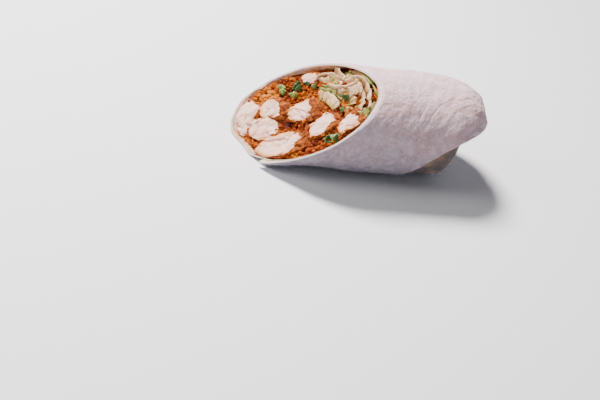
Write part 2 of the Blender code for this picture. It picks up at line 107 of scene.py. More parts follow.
# The cut edge of the tortilla
SEAM_DEPTH = 0.8 * MM  # the line between its two layers
SEAM_OPEN, SEAM_OPEN_CORNER, SEAM_OPEN_UNEVEN = 0.08 * MM, 0.20 * MM, 0.06 * MM
RIM_THIN_ONE, RIM_THIN_TWO = 0.45 * MM, 1.1 * MM  # how much thinner one and two soft layers are pressed
RIM_THIN_LENGTH = 4.0 * MM
RIM_CORNER = 0.22 * MM  # size of its rounded corners
RIM_STRAIGHT = 0.70 * MM  # how deep the walls run straight again
RIM_WAVER, RIM_BULGE = 0.30 * MM, 0.10 * MM  # how uneven it is, and how far each layer bulges out
SEAM_CORNER, SEAM_SHOULDER = 0.10 * MM, 0.25 * MM  # width and depth of the rounding into the line
RIM_ROUND_ROWS = 2  # rings of the rim before the cut edge itself
RIM_CUT_ROWS = 12  # rings from the inside to where the outer skin starts
STAIN_DEPTH = 1.6 * MM  # sauce stains the inner wall from about this deep on
STAIN_BACK = 55.6 * MM  # over this width towards the back the stain grows stronger
STAIN_RIM, STAIN_RIM_LOW = 0.62, 0.35  # on the rim's inner side, and more where it is low
STAIN_LOW_Z, STAIN_LOW_HEIGHT = 6.0 * MM, 16.0 * MM

# The inside
CAVITY_X, CAVITY_END_X = 36.0 * MM, 50.0 * MM
WALL_RELIEF, WALL_SWELL = 0.25 * MM, 0.1 * MM  # the inner wall is uneven and a little thicker
GAP = 0.35 * MM  # clearance from the filling to the tortilla
STRIP_MARGIN = 0.8 * MM  # clearance from a strip to the tortilla
BACK_MARGIN = STRIP_MARGIN + 2.0 * LUMP  # the same behind the cut, where the wall is uneven
FACE_MARGIN = 0.3 * MM  # the same at the cut face
FLOOR_CLEARANCE = 1.6 * MM  # outlines of strips, leaves and slips are kept this far off the floor
STRAIGHT_END_X, STRIP_END_X = 8.0 * MM, 28.0 * MM  # the strips run through the food to the second

# The filling's own face, which lies a little deeper than the cut, and more by the upper wall
FACE_RECESS, TOP_RECESS = 1.4 * MM, 4.6 * MM
TOP_ALONG, TOP_ALONG_WIDTH = -14.0, 20.0  # where the deeper part starts, and how far it takes to sink
TOP_ACROSS, TOP_ACROSS_WIDTH = 6.0, 12.0
TOP_OUT, TOP_OUT_WIDTH = 0.6, 0.3  # the same as shares of the radius
PITS = ((-10.5, -3.5, 3.0), (11.5, 1.5, 2.6), (3.0, -7.5, 2.2))  # along, across, width
PIT_DEPTH = 5.0 * MM
SAUCE_DROP = 1.6 * MM  # the sauce lies this much deeper than the solid's face, and the crumbs fill it up
SAUCE_CRAG, SAUCE_CRAG_LEVEL, SAUCE_WAVE = 3.0 * MM, 0.56, 0.9 * MM
SAUCE_RIM_DEPTH = 1.5 * MM  # how deep behind the cut its edge meets the wall
SAUCE_SIDE_TONE = 0.3
WALL_SHARES = (0.1, 0.3, 0.6, 0.85, 1.0)  # of the way from the face to the dome behind, ring by ring
DOME_SHARES = (0.9, 0.75, 0.5, 0.2)  # of the radius

# Chicken, in mm: along, across, half length, half width, turn in degrees, how far it stands out;
# the crust: the side it is thickest on, in degrees, its least and its most width as a share of the strip;
# and how much wider all round than its solid it is drawn, as soft meat swells where it is cut
CHICKEN = {
    "chicken_1": (-36.4, 4.4, 10.0, 4.9, 50.0, 0.6, 0.0, -0.30, -0.25, 2.4),
    "chicken_2": (-25.0, -3.6, 6.6, 5.4, -18.0, 0.8, 90.0, -0.10, 0.10, 1.6),
    "chicken_3": (-13.0, -16.3, 13.4, 5.4, -6.0, 1.4, -10.0, -0.04, 0.34, 1.6),
    "chicken_4": (-17.6, 6.8, 6.6, 5.6, -16.0, 0.4, 10.0, 0.02, 0.50, 1.4),
    "chicken_5": (-0.6, 1.2, 8.0, 5.4, -4.0, 0.8, -20.0, 0.04, 0.42, 1.3),
    "chicken_6": (10.8, -10.2, 8.0, 4.5, 28.0, 1.2, -50.0, 0.00, 0.36, 1.4),
    "chicken_7": (26.8, -12.2, 6.4, 5.2, 28.0, 0.6, 30.0, 0.08, 0.42, 1.4),
    "chicken_8": (4.0, 20.2, 4.4, 2.8, -4.0, 0.4, 200.0, 0.05, 0.30, 1.0),
}
CHICKEN_CRAG, CHICKEN_UNEVEN = 0.07, 0.13  # unevenness of an outline by sines and by noise
SQUARENESS = 2.6  # 2 is an ellipse, and more is squarer
EDGE_ROUNDING = 1.9 * MM  # how far a strip's face falls away at its edge
FIBRE_DEPTH, TORN_DEPTH = 0.42 * MM, 1.50 * MM
CLEFT_DEPTH, PORE_DEPTH = 1.3 * MM, 0.25 * MM
COAT_HEIGHT = 1.3 * MM
SIDE_SHARES = (0.02, 0.05, 0.09, 0.15, 0.25, 0.45, 0.7, 1.0)  # of the way back, ring by ring

# The lettuce heap, as for a strip of chicken up to how far it stands out
HEAP = (25.2, 7.6, 14.6, 11.2, -24.0, -2.6)
HEAP_DROP, HEAP_SWELL = 1.2, 1.2  # in mm: its skin lies lower than the solid, and is wider
HEAP_CRUMPLE = 2.2 * MM
# The larger piece of spring onion by the lower rim, with the same values as a strip of chicken
ONION_LOW = (16.2, -19.8, 3.6, 2.2, 10.0, 0.4, 0.0, 0.0, 0.0, 0.6)

SLANT = math.hypot(CUT_BY_HEIGHT, CUT_BY_Y)
LONG_AXIS = np.array([SLANT, CUT_BY_Y / SLANT, CUT_BY_HEIGHT / SLANT]) / math.hypot(SLANT, 1.0)
CROSS_AXIS = np.array([0.0, CUT_BY_HEIGHT, -CUT_BY_Y]) / SLANT
OUTWARD = np.array([-1.0, CUT_BY_Y, CUT_BY_HEIGHT]) / math.hypot(SLANT, 1.0)

# Large odd numbers that scatter a lattice corner's place and the seed over all values
SCATTER_X, SCATTER_Y, SCATTER_Z = 73856093, 19349663, 83492791
SCATTER_SEED, SCATTER_ALL = 2654435761, 1274126177


def smoothstep(value):
    """0 up to 0, 1 from 1 on, and smooth between."""
    value = np.clip(value, 0.0, 1.0)
    return value * value * (3.0 - 2.0 * value)


def noise(points, size, seed):
    """Smooth values between -1 and 1: random corners of a lattice of this size, blended between."""
    place = points / size
    cell = np.floor(place).astype(np.int64)
    part = place - cell
    part = part * part * (3.0 - 2.0 * part)
    total = np.zeros(points.shape[:-1])
    for corner in range(8):
        step = np.array([corner & 1, (corner >> 1) & 1, corner >> 2])
        at = cell + step
        mixed = (at[..., 0] * SCATTER_X) ^ (at[..., 1] * SCATTER_Y) ^ (at[..., 2] * SCATTER_Z)
        mixed = mixed ^ (seed * SCATTER_SEED)
        mixed = ((mixed ^ (mixed >> 13)) * SCATTER_ALL) & 0x7FFFFFFF
        mixed = mixed ^ (mixed >> 16)
        value = (mixed & 0xFFFF) / 32767.5 - 1.0
        weight = np.where(step == 1, part, 1.0 - part).prod(axis=-1)
        total += value * weight
    return total


def fractal(points, size, seed, octaves=4):
    """Noise summed over octaves, each half as large and half as strong as the one before."""
    total = np.zeros(points.shape[:-1])
    for octave in range(octaves):
        total += noise(points, size / 2.0**octave, seed + 17 * octave) * 0.5**octave
    return total


def ridges(points, size, seed, octaves=3):
    """Sharp crests between rounded hollows: one less the size of the noise, from 0 to 1."""
    return 1.0 - np.abs(fractal(points, size, seed, octaves)).clip(0.0, 1.0)


def lumps(x, angle):
    """The same smooth unevenness as the solid's: a sum of sines round and along the roll."""
    along = x / MM
    return (
        0.5 * np.sin(3 * angle + along / 11.0)
        + 0.3 * np.sin(5 * angle - along / 7.0 + 1.3)
        + 0.3 * np.sin(2 * angle + along / 17.0 + 2.1)
    )


def edge_angle(x):
    """Where the tortilla's free edge lies round the roll: low, then climbing ever more slowly."""
    run = np.maximum(x - EDGE_START_X, 0.0)
    climbed = 1.0 - np.exp(-(run**2) / (run + EDGE_EASE) / EDGE_CLIMB)
    return EDGE_LOW + (EDGE_HIGH - EDGE_LOW) * climbed


def turn_at(x, y, height):
    """The share of a turn behind the free edge at which this y and height above the axis lie."""
    return ((edge_angle(x) - np.arctan2(-y, height)) / TURN) % 1.0


def roll_radius(x, turn):
    """Outside of the roll without its spiral: swollen, lumpy and sinking under the free edge."""
    angle = edge_angle(x) - TURN * turn
    swell = SWELL * np.exp(-(((x - SWELL_X) / SWELL_LENGTH) ** 2))
    under = smoothstep((turn - UNDER_TURN) / (1.0 - UNDER_TURN))
    dip = UNDER_DIP * under * smoothstep((x - UNDER_START_X) / UNDER_LENGTH)
    return ROLL_RADIUS + swell + LUMP * lumps(x, angle) - dip


def outer_radius(x, turn):
    """A spiral: the radius falls by one sheet over the turn behind the free edge."""
    return roll_radius(x, turn) + SHEET * (1.0 - turn)


def inner_radius(x, turn):
    """The outer radius less two sheets up to the inner edge, and less one from there on."""
    second = 1.0 - smoothstep((turn - INNER_EDGE_TURN) / INNER_EDGE_WIDTH + 0.5)
    return roll_radius(x, turn) - SHEET * turn - SHEET * second


def doubled(turn):
    """1 where the sheet lies double at the cut, falling to 0 just before the second layer's edge."""
    return 1.0 - smoothstep((turn - INNER_EDGE_TURN) / TAPER_TURN + 1.0)


def rim_thinning(turn, depth=0.0):
    """How much further out the inner wall lies at the cut edge, where its layers are pressed thin."""
    thinner = RIM_THIN_ONE + (RIM_THIN_TWO - RIM_THIN_ONE) * doubled(turn)
    return thinner * np.exp(-((depth / RIM_THIN_LENGTH) ** 2))


def on_roll(x, radius, turn):
    """Points at this radius, pressed flat where the outside reaches the floor, each layer over the next."""
    angle = edge_angle(x) - TURN * turn
    y = -radius * np.sin(angle)
    lowest = np.clip(outer_radius(x, turn) - radius, 0.0, PRESSED_DEPTH)
    z = np.maximum(AXIS_HEIGHT + radius * np.cos(angle), lowest)
    return np.stack([np.broadcast_to(x, y.shape), y, z], axis=-1)


def cut_x(y, z):
    """Where the cut lies along the roll: a slanted plane that bows out at the front."""
    bow = CUT_BOW * (np.minimum(y, 0.0) / ROLL_RADIUS) ** 2
    return CUT_X + CUT_BY_Y * y + CUT_BY_HEIGHT * (z - AXIS_HEIGHT) - bow


def on_face(along, across):
    """Y and height above the axis of a place on the cut face."""
    y = along * LONG_AXIS[1] + across * CROSS_AXIS[1]
    height = along * LONG_AXIS[2] + across * CROSS_AXIS[2]
    return y, height


def face_place(along, across, out):
    """The point at a place on the cut face in mm, and this many mm out of it."""
    y, height = on_face(along * MM, across * MM)
    z = height + AXIS_HEIGHT
    points = np.stack(np.broadcast_arrays(cut_x(y, z), y, z), axis=-1)
    return points + np.broadcast_to(out, points.shape[:-1])[..., None] * OUTWARD * MM


def mesh_from(name, points, faces, attributes=()):
    """A smooth mesh object at the origin, with a value for each point of each named attribute."""
    mesh = bpy.data.meshes.new(name)
    mesh.from_pydata(points.reshape(-1, 3).tolist(), [], faces)
    for label, values in attributes:
        made = mesh.attributes.new(label, "FLOAT", "POINT")
        made.data.foreach_set("value", np.asarray(values, np.float32).ravel())
    mesh.shade_smooth()
    piece = bpy.data.objects.new(name, mesh)
    bpy.context.scene.collection.objects.link(piece)
    return piece


def tube_faces(rows, count):
    """Quads between closed rings, then a fan to a point added before them and one added after."""
    row, column = np.meshgrid(np.arange(rows - 1), np.arange(count), indexing="ij")
    start = 1 + row * count
    after = (column + 1) % count
    quads = np.stack([start + column, start + after, start + count + after, start + count + column], -1)
    one, two = np.arange(count), (np.arange(count) + 1) % count
    head = np.stack([np.zeros(count, int), 1 + two, 1 + one], -1)
    tail = 1 + (rows - 1) * count
    last = np.full(count, 1 + rows * count)
    foot = np.stack([last, tail + one, tail + two], -1)
    return quads.reshape(-1, 4).tolist() + head.tolist() + foot.tolist()


def tube(name, rings, attributes=()):
    """A closed skin through the rings, with a point at the middle of the first and of the last."""
    rings = np.asarray(rings)
    points = np.concatenate([rings[0].mean(0)[None], rings.reshape(-1, 3), rings[-1].mean(0)[None]])
    padded = []
    for label, values in attributes:
        values = np.asarray(values)
        ends = values[0].mean()[None], values[-1].mean()[None]
        padded.append((label, np.concatenate([ends[0], values.ravel(), ends[1]])))
    piece = mesh_from(name, points, tube_faces(rings.shape[0], rings.shape[1]), padded)
    outward(piece)
    return piece


def outward(piece):
    """Turns every face out when the skin encloses a negative volume."""
    mesh = piece.data
    mesh.calc_loop_triangles()
    count = len(mesh.loop_triangles)
    corners = np.empty(count * 3, np.int32)
    mesh.loop_triangles.foreach_get("vertices", corners)
    points = np.empty(len(mesh.vertices) * 3)
    mesh.vertices.foreach_get("co", points)
    a, b, c = np.moveaxis(points.reshape(-1, 3)[corners.reshape(-1, 3)], 1, 0)
    if np.einsum("ij,ij->", a, np.cross(b, c)) < 0.0:
        mesh.flip_normals()


def slab(points, thickness):
    """Both faces of a sheet, half its thickness along the normal each way, as one closed grid of rings."""
    along = np.gradient(points, axis=0)
    across = np.gradient(points, axis=1)
    normal = np.cross(along, across)
    normal /= np.linalg.norm(normal, axis=-1, keepdims=True) + 1e-12
    half = 0.5 * np.asarray(thickness)[..., None] * normal
    return np.concatenate([points + half, (points - half)[:, ::-1]], axis=1)


def join_tubes(name, skins):
    """Closed skins, each with its rings and its named values, made into one mesh."""
    points, faces, values, base = [], [], {}, 0
    for rings, named in skins:
        ends = rings[0].mean(0)[None], rings[-1].mean(0)[None]
        points.append(np.concatenate([ends[0], rings.reshape(-1, 3), ends[1]]))
        made = tube_faces(rings.shape[0], rings.shape[1])
        faces += [[corner + base for corner in face] for face in made]
        base += rings.shape[0] * rings.shape[1] + 2
        for label, value in named.items():
            value = np.broadcast_to(value, rings.shape[:2])
            full = np.concatenate([[value[0].mean()], value.ravel(), [value[-1].mean()]])
            values.setdefault(label, []).append(full)
    joined = [(label, np.concatenate(parts)) for label, parts in values.items()]
    return mesh_from(name, np.concatenate(points), faces, joined)


class Wire:
    """A shader socket that takes part in arithmetic: each sum or product adds its Math node."""

    def __init__(self, finish, socket):
        self.finish = finish
        self.socket = socket

    def math(self, operation, first, second):
        return self.finish.node("ShaderNodeMath", {"operation": operation}, {0: first, 1: second}).out(0)

    def __add__(self, other):
        return self.math("ADD", self, other)

    def __radd__(self, other):
        return self.math("ADD", other, self)

    def __sub__(self, other):
        return self.math("SUBTRACT", self, other)

    def __rsub__(self, other):
        return self.math("SUBTRACT", other, self)

    def __mul__(self, other):
        return self.math("MULTIPLY", self, other)

    def __pow__(self, other):
        return self.math("POWER", self, other)

    def step(self, low, high):
        """0 below the low value, 1 above the high one, and smooth between."""
        settings = {"interpolation_type": "SMOOTHSTEP", "clamp": True}
        return self.finish.node("ShaderNodeMapRange", settings, {0: self, 1: low, 2: high}).out(0)


class Built:
    """A node that was made, whose outputs are wires."""

    def __init__(self, finish, node):
        self.finish = finish
        self.made = node

    def out(self, which):
        return Wire(self.finish, self.made.outputs[which])


class Finish:
    """One procedural material."""

    def __init__(self, name):
        self.material = bpy.data.materials.new(name)
        self.material.use_nodes = True
        self.tree = self.material.node_tree
        self.shader = self.tree.nodes["Principled BSDF"]

    def node(self, kind, settings=None, inputs=None):
        """Any node: its settings first, then the values or links of its sockets."""
        made = self.tree.nodes.new(kind)
        for key, value in (settings or {}).items():
            if key == "stops":
                self.set_stops(made.color_ramp, value)
            else:
                setattr(made, key, value)
        for key, value in (inputs or {}).items():
            self.feed(made.inputs[key], value)
        return Built(self, made)

    def set_stops(self, ramp, stops):
        while len(ramp.elements) < len(stops):
            ramp.elements.new(0.5)
        for element, (place, colour) in zip(ramp.elements, stops):
            element.position = place
            element.color = (*colour, 1.0)

    def feed(self, socket, value):
        if isinstance(value, Wire):
            self.tree.links.new(value.socket, socket)
        elif isinstance(value, tuple) and len(value) == 3 and socket.type == "RGBA":
            socket.default_value = (*value, 1.0)
        else:
            socket.default_value = value

    def set(self, **inputs):
        """Values or links for the shader's own sockets, with _ for each space."""
        for key, value in inputs.items():
            self.feed(self.shader.inputs[key.replace("_", " ")], value)

    def place(self, stretch=(1.0, 1.0, 1.0), turn=(0.0, 0.0, 0.0)):
        """The point on the piece, stretched and turned."""
        coordinates = self.node("ShaderNodeTexCoord").out("Object")
        inputs = {"Vector": coordinates, "Scale": stretch, "Rotation": turn}
        return self.node("ShaderNodeMapping", None, inputs).out(0)

    def noise(self, size, detail=3.0, roughness=0.55, place=None):
        """Noise whose features are about this many metres across, from 0 to 1."""
        inputs = {"Scale": 1.0 / size, "Detail": detail, "Roughness": roughness}
        inputs["Vector"] = place or self.place()
        return self.node("ShaderNodeTexNoise", None, inputs).out(0)

    def cells(self, size):
        """Distance to the nearest of scattered points about this many metres apart."""
        inputs = {"Scale": 1.0 / size, "Vector": self.place()}
        return self.node("ShaderNodeTexVoronoi", None, inputs).out("Distance")

    def value(self, name):
        """A value that the piece holds for each of its points."""
        return self.node("ShaderNodeAttribute", {"attribute_name": name}).out("Fac")

    def mix(self, factor, first, second):
        """A colour between the first, at 0, and the second, at 1."""
        inputs = {0: factor, 6: first, 7: second}
        return self.node("ShaderNodeMix", {"data_type": "RGBA"}, inputs).out(2)

    def ramp(self, factor, stops):
        """The colour at this place between the stops, each a place and a colour."""
        return self.node("ShaderNodeValToRGB", {"stops": stops}, {0: factor}).out(0)

    def bump(self, height, depth, strength=1.0):
        """A normal from a height between 0 and 1 that stands for this many metres."""
        inputs = {"Height": height, "Distance": depth, "Strength": strength}
        return self.node("ShaderNodeBump", None, inputs).out(0)


def tortilla_finish(look):
    """Soft flour tortilla: pale and mottled with flour, warmer in patches and with a few spots browned in
    the pan.

    It has painted shade: greyer low on the roll, and dark and brownish under the free edge. It is stained by
    sauce inside the cut edge.
    """
    finish = Finish("flour tortilla")
    pale = tuple(look.tortilla_colour)
    warm = tuple(look.tortilla_warm_colour)
    patches = finish.noise(0.015, 4.0, 0.6).step(0.38, 0.66)
    colour = finish.mix(patches, pale, warm)
    mottle = finish.noise(0.0040, 6.0, 0.75).step(0.38, 0.66)
    colour = finish.mix(mottle * 0.60, colour, tuple(look.flour_colour))
    shade = finish.noise(0.030, 3.0, 0.5, finish.place((1.0, 1.6, 1.6))).step(0.45, 0.75)
    grey = (0.50, 0.44, 0.50)
    colour = finish.mix(shade * 0.45, colour, grey)
    spots = (1.0 - finish.cells(0.021).step(0.035, 0.085)) * finish.noise(0.004, 3.0).step(0.40, 0.60)
    colour = finish.mix(spots * 0.55, colour, tuple(look.toast_colour))
    freckles = (1.0 - finish.cells(0.0048).step(0.05, 0.16)) * finish.noise(0.008, 2.0).step(0.50, 0.70)
    tan = (0.62, 0.46, 0.36)
    colour = finish.mix(freckles * 0.30, colour, tan)
    # Painted shade: the skin is painted greyer and darker low on the roll, with a blurred border.
    height = finish.node("ShaderNodeSeparateXYZ", None, {0: finish.place()}).out("Z")
    blurred = height + finish.noise(0.012, 4.0, 0.6) * 0.012 - 0.006
    lower = (1.0 - blurred.step(0.002, 0.054)) ** 0.65
    colour = finish.mix(lower * (0.95 - mottle * 0.25), colour, tuple(look.tortilla_low_shade_colour))
    # Painted shade under the free edge: the layer there is painted dark, tinted brown.
    under = (finish.value("under") + finish.noise(0.006, 4.0, 0.6) * 0.4 - 0.2).step(0.25, 0.75)
    dark, brown = (0.045, 0.034, 0.030), (0.19, 0.105, 0.055)
    painted_flap_shade = finish.mix(finish.noise(0.010, 3.0, 0.5).step(0.40, 0.65), dark, brown)
    colour = finish.mix(under * 0.90, colour, painted_flap_shade)
    stain = finish.value("stain")
    broken = (stain + finish.noise(0.0030, 4.0, 0.65) * 0.7 - 0.35).step(0.18, 0.75)
    orange, peach, crumb = (0.78, 0.40, 0.18), (0.90, 0.63, 0.43), (0.80, 0.70, 0.60)
    sauce = finish.mix(finish.noise(0.0015, 3.0).step(0.35, 0.65), orange, peach)
    colour = finish.mix(broken * 0.85, colour, sauce)
    colour = finish.mix(finish.value("cut_edge") * 0.5, colour, crumb)
    fine = finish.noise(0.0006, 5.0, 0.75)
    dimples = finish.noise(0.0017, 3.0, 0.6)
    creases = finish.noise(0.0045, 4.0, 0.6, finish.place((0.45, 1.0, 1.0), (0.0, 0.0, 0.6)))
    relief = fine * 0.35 + dimples * 0.60 + creases * 0.8
    finish.set(
        Base_Color=colour,
        Roughness=0.72 - broken * 0.35,
        Normal=finish.bump(relief, 0.0010, 0.9),
        Subsurface_Weight=0.12,
        Subsurface_Radius=(0.6, 0.45, 0.35),
        Subsurface_Scale=0.0015,
        Specular_IOR_Level=0.30,
        Sheen_Weight=0.10,
        Sheen_Roughness=0.6,
    )
    return finish.material


def chicken_finish(look):
    """White meat with fibres and clefts, the clefts painted darker as painted shade, golden at its edge, and
    a browned coat where the crust says.
    """
    finish = Finish("breaded chicken")
    meat = tuple(look.chicken_colour)
    fibres = finish.noise(0.0016, 5.0, 0.65, finish.place((0.8, 0.5, 1.4), (0.3, 0.5, 0.2)))
    strand = (meat[0] * 0.93, meat[1] * 0.82, meat[2] * 0.76)
    colour = finish.mix(fibres.step(0.30, 0.60), strand, meat)
    # Painted shade: the clefts and pores are painted darker and redder.
    cleft_shade, juice = (0.62, 0.33, 0.22), (0.80, 0.46, 0.33)
    colour = finish.mix(finish.value("hollow").step(0.25, 0.95) * 0.70, colour, cleft_shade)
    wet = finish.noise(0.0075, 4.0, 0.6).step(0.42, 0.68)
    colour = finish.mix(wet * 0.60, colour, juice)
    golden = (finish.value("gold") + finish.noise(0.0030, 4.0, 0.6) * 0.6 - 0.30).step(0.08, 0.66)
    colour = finish.mix(golden * 0.80, colour, tuple(look.golden_colour))
    grain = finish.noise(0.0018, 5.0, 0.7)
    browned = finish.ramp(
        grain,
        [
            (0.32, (0.035, 0.003, 0.0003)),
            (0.43, (0.13, 0.019, 0.0004)),
            (0.54, (0.27, 0.056, 0.001)),
            (0.68, (0.54, 0.17, 0.008)),
        ],
    )
    edge = (finish.value("crust") + finish.noise(0.0016, 4.0, 0.7) * 0.9 - 0.45).step(0.16, 0.46)
    halo = (finish.value("crust") + finish.noise(0.003, 3.0, 0.6) * 0.9 - 0.45).step(-0.10, 0.30)
    orange = (0.74, 0.32, 0.08)
    colour = finish.mix(halo * 0.50, colour, orange)
    colour = finish.mix(edge, colour, browned)
    height = fibres * 0.6 + grain * (0.25 + edge * 0.9)
    finish.set(
        Base_Color=colour,
        Roughness=0.46 + fibres * 0.15 + edge * 0.30,
        Normal=finish.bump(height, 0.0006, 0.8),
        Subsurface_Weight=0.08,
        Subsurface_Radius=(0.9, 0.5, 0.35),
        Subsurface_Scale=0.0016,
        Specular_IOR_Level=0.28,
    )
    return finish.material


def crumb_finish(look):
    """Crisp crumbs wet with sauce, each with its own tone from dark brown to bright orange."""
    finish = Finish("crisp crumb in sauce")
    tone = finish.value("tone")
    grain = finish.noise(0.0009, 4.0, 0.7)
    sauce = tuple(look.sauce_colour)
    colour = finish.ramp(
        tone * 0.85 + grain * 0.4 - 0.12,
        [
            (0.08, (0.030, 0.0030, 0.0003)),
            (0.30, (0.15, 0.018, 0.001)),
            (0.56, sauce),
            (0.78, (0.62, 0.185, 0.010)),
            (1.00, (0.86, 0.40, 0.07)),
        ],
    )
    height = grain * 0.6 + finish.noise(0.0004, 3.0, 0.7) * 0.4
    finish.set(
        Base_Color=colour,
        Roughness=0.48 + grain * 0.30,
        Normal=finish.bump(height, 0.0007, 1.0),
        Specular_IOR_Level=0.15,
    )
    return finish.material


def lettuce_finish(look):
    """Crisp lettuce: cream at the rib, pale green in the blade and deeper green at the ruffled edge."""
    finish = Finish("lettuce")
    green = finish.value("green")
    veins = finish.noise(0.0022, 4.0, 0.6, finish.place((0.6, 1.2, 1.2)))
    colour = finish.ramp(
        green + veins * 0.30 - 0.15,
        [
            (0.05, tuple(look.lettuce_rib_colour)),
            (0.40, tuple(look.lettuce_colour)),
            (0.70, (0.30, 0.30, 0.06)),
            (1.00, (0.10, 0.16, 0.02)),
        ],
    )
    finish.set(
        Base_Color=colour,
        Roughness=0.34 + veins * 0.2,
        Normal=finish.bump(veins, 0.0006, 0.6),
        Subsurface_Weight=0.10,
        Subsurface_Radius=(0.7, 0.9, 0.3),
        Subsurface_Scale=0.0012,
        Specular_IOR_Level=0.5,
    )
    return finish.material


def onion_finish(look):
    """Cut spring onion: green outside, paler where it was cut."""
    finish = Finish("spring onion")
    tone = finish.value("green")
    streaks = finish.noise(0.0010, 3.0, 0.6)
    colour = finish.ramp(
        tone + streaks * 0.25 - 0.12,
        [
            (0.05, (0.42, 0.42, 0.13)),
            (0.35, (0.21, 0.27, 0.04)),
            (0.65, tuple(look.onion_colour)),
            (1.00, (0.025, 0.065, 0.008)),
        ],
    )
    finish.set(
        Base_Color=colour,
        Roughness=0.35,
        Normal=finish.bump(streaks, 0.0003, 0.5),
        Subsurface_Weight=0.15,
        Subsurface_Scale=0.0008,
        Specular_IOR_Level=0.5,
    )
    return finish.material


def floor_finish():
    """Plain pale floor."""
    finish = Finish("pale floor")
    finish.set(Base_Color=(0.94, 0.94, 0.95), Roughness=0.75, Specular_IOR_Level=0.2)
    return finish.material


def finished(piece, material, nodes=()):
    """Gives a piece its material and slot, lets it ride on the food, and hides the solids it stands for."""
    piece.data.materials.append(material)
    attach(piece, "root")
    if nodes:
        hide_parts(*nodes)


def roll_columns(count):
    """Shares of a turn behind the free edge: even, with close ones at the free and the inner edge."""
    even = np.linspace(0.012, 0.988, count)
    free = np.array([0.0, 0.0006, 0.0014, 0.0025, 0.0042, 0.0065, 0.009])
    under = 1.0 - np.array([0.0095, 0.0075, 0.0058, 0.0043, 0.0030, 0.0019])
    inner = INNER_EDGE_TURN + np.linspace(-0.009, 0.009, 7)
    return np.unique(np.concatenate([even, free, under, inner]))


def skin_relief(points, turn, x):
    """How far the outer skin stands out: soft swellings and fine dimples, less its creases and crinkles.

    The creases run along the free edge and are deepest near it. The crinkles are near the tucked end.
    """
    behind = turn * TURN * ROLL_RADIUS
    sheet = np.stack([behind, x * 0.35 + behind * 0.25, np.zeros_like(x)], axis=-1)
    creases = ridges(sheet, 7.5 * MM, 5, 3) ** 3
    by_edge = smoothstep((x - CREASE_X) / CREASE_LENGTH)
    by_edge *= 1.0 - smoothstep((behind - CREASE_BEHIND) / CREASE_FADE)
    relief = SOFT_RELIEF * fractal(points, 12.0 * MM, 11, 4)
    relief += FINE_RELIEF * fractal(points, 3.0 * MM, 23, 4)
    relief -= (CREASE_BY_EDGE * by_edge + CREASE) * creases * (0.5 + 0.5 * noise(points, 16.0 * MM, 31))
    crinkles = ridges(points * (0.6, 1.0, 1.0), 4.6 * MM, 35, 3) ** 3
    relief -= CRINKLE * crinkles * smoothstep((x - CRINKLE_X) / CRINKLE_LENGTH)
    return relief


def edge_profile(turn):
    """The free edge rounds over, and the skin dips just where it runs under it."""
    dip = EDGE_DIP * np.exp(-(((1.0 - turn) / EDGE_DIP_TURN) ** 2))
    return -EDGE_ROUND * np.exp(-turn / EDGE_ROUND_TURN) - dip


def rim_rows(turn):
    """The cut edge from inside to outside: rounded corners, and a line between the two layers."""
    x = np.full(turn.shape, CUT_X)
    inside = inner_radius(x, turn) + rim_thinning(turn)
    outside = outer_radius(x, turn) + edge_profile(turn)
    two = doubled(turn)
    between = np.where(two > 0.0, outside - SHEET, 0.5 * (inside + outside))
    depth = SEAM_DEPTH * two
    corner = np.exp(-((turn / LIP_TURN) ** 2))
    lip, flare = -LIP * corner, LIP_FLARE * corner
    ragged = on_roll(x, outside, turn)
    waver = RIM_WAVER * fractal(ragged, 6.0 * MM, 41, 3)
    open_gap = SEAM_OPEN + SEAM_OPEN_CORNER * corner + SEAM_OPEN_UNEVEN * noise(ragged, 11.0 * MM, 43)
    rows = [
        (inside + 0.02 * MM, RIM_STRAIGHT + waver),
        (inside + 0.05 * MM, RIM_CORNER + waver),
        (inside + RIM_CORNER, waver),
        (0.5 * (inside + between), waver - RIM_BULGE),
        (between - open_gap - SEAM_CORNER, waver),
        (between - open_gap, SEAM_SHOULDER + waver),
        (between - 0.6 * open_gap, depth + waver),
        (between + 0.6 * open_gap, depth + waver),
        (between + open_gap + flare, SEAM_SHOULDER + waver + lip),
        (between + open_gap + SEAM_CORNER + flare, waver + lip),
        (0.5 * (between + outside) + flare, waver + lip - RIM_BULGE),
        (outside - RIM_CORNER + flare, waver + lip),
        (outside - 0.05 * MM + flare, RIM_CORNER + waver + lip),
        (outside + flare, RIM_STRAIGHT + waver + lip),
    ]
    made = []
    for radius, deeper in rows:
        ring = on_roll(x, radius, turn)
        ring[:, 0] = cut_x(ring[:, 1], ring[:, 2]) + deeper
        made.append(ring)
    return made


def cavity_rows(turn, rim_x):
    """The inner wall from its rounded end to the cut, close together near the cut."""
    rows = []
    for share in (0.3, 0.55, 0.78, 0.93):
        x = np.full(turn.shape, CAVITY_X + (CAVITY_END_X - CAVITY_X) * math.sqrt(1.0 - share**2))
        rows.append(on_roll(x, inner_radius(x, turn) * share, turn))
    for share in np.linspace(1.0, 0.0, 40, endpoint=False) ** 2.2:
        x = rim_x + (CAVITY_X - rim_x) * share
        ring = on_roll(x, inner_radius(x, turn) + rim_thinning(turn, x - rim_x), turn)
        radial = ring[:, 1:] - (0.0, AXIS_HEIGHT)
        radial /= np.linalg.norm(radial, axis=1, keepdims=True)
        relief = WALL_RELIEF * fractal(ring, 6.0 * MM, 51, 3) * smoothstep(share / 0.01)
        ring[:, 1:] -= radial * (relief + WALL_SWELL)[:, None]
        rows.append(ring)
    return rows


def outer_rows(turn, rim):
    """The skin from the cut to the shoulder, with its relief."""
    rows = []
    for share in np.linspace(0.0, 1.0, 150)[1:]:
        x = rim[:, 0] + (SHOULDER_X - rim[:, 0]) * share
        flare = LIP_FLARE * np.exp(-((turn / LIP_TURN) ** 2)) * (1.0 - share) ** 3
        radius = outer_radius(x, turn) + edge_profile(turn) + flare
        ring = on_roll(x, radius, turn)
        fade = smoothstep(share / 0.03)
        rows.append(on_roll(x, radius + fade * skin_relief(ring, turn, x) - SKIN_DROP, turn))
    return rows


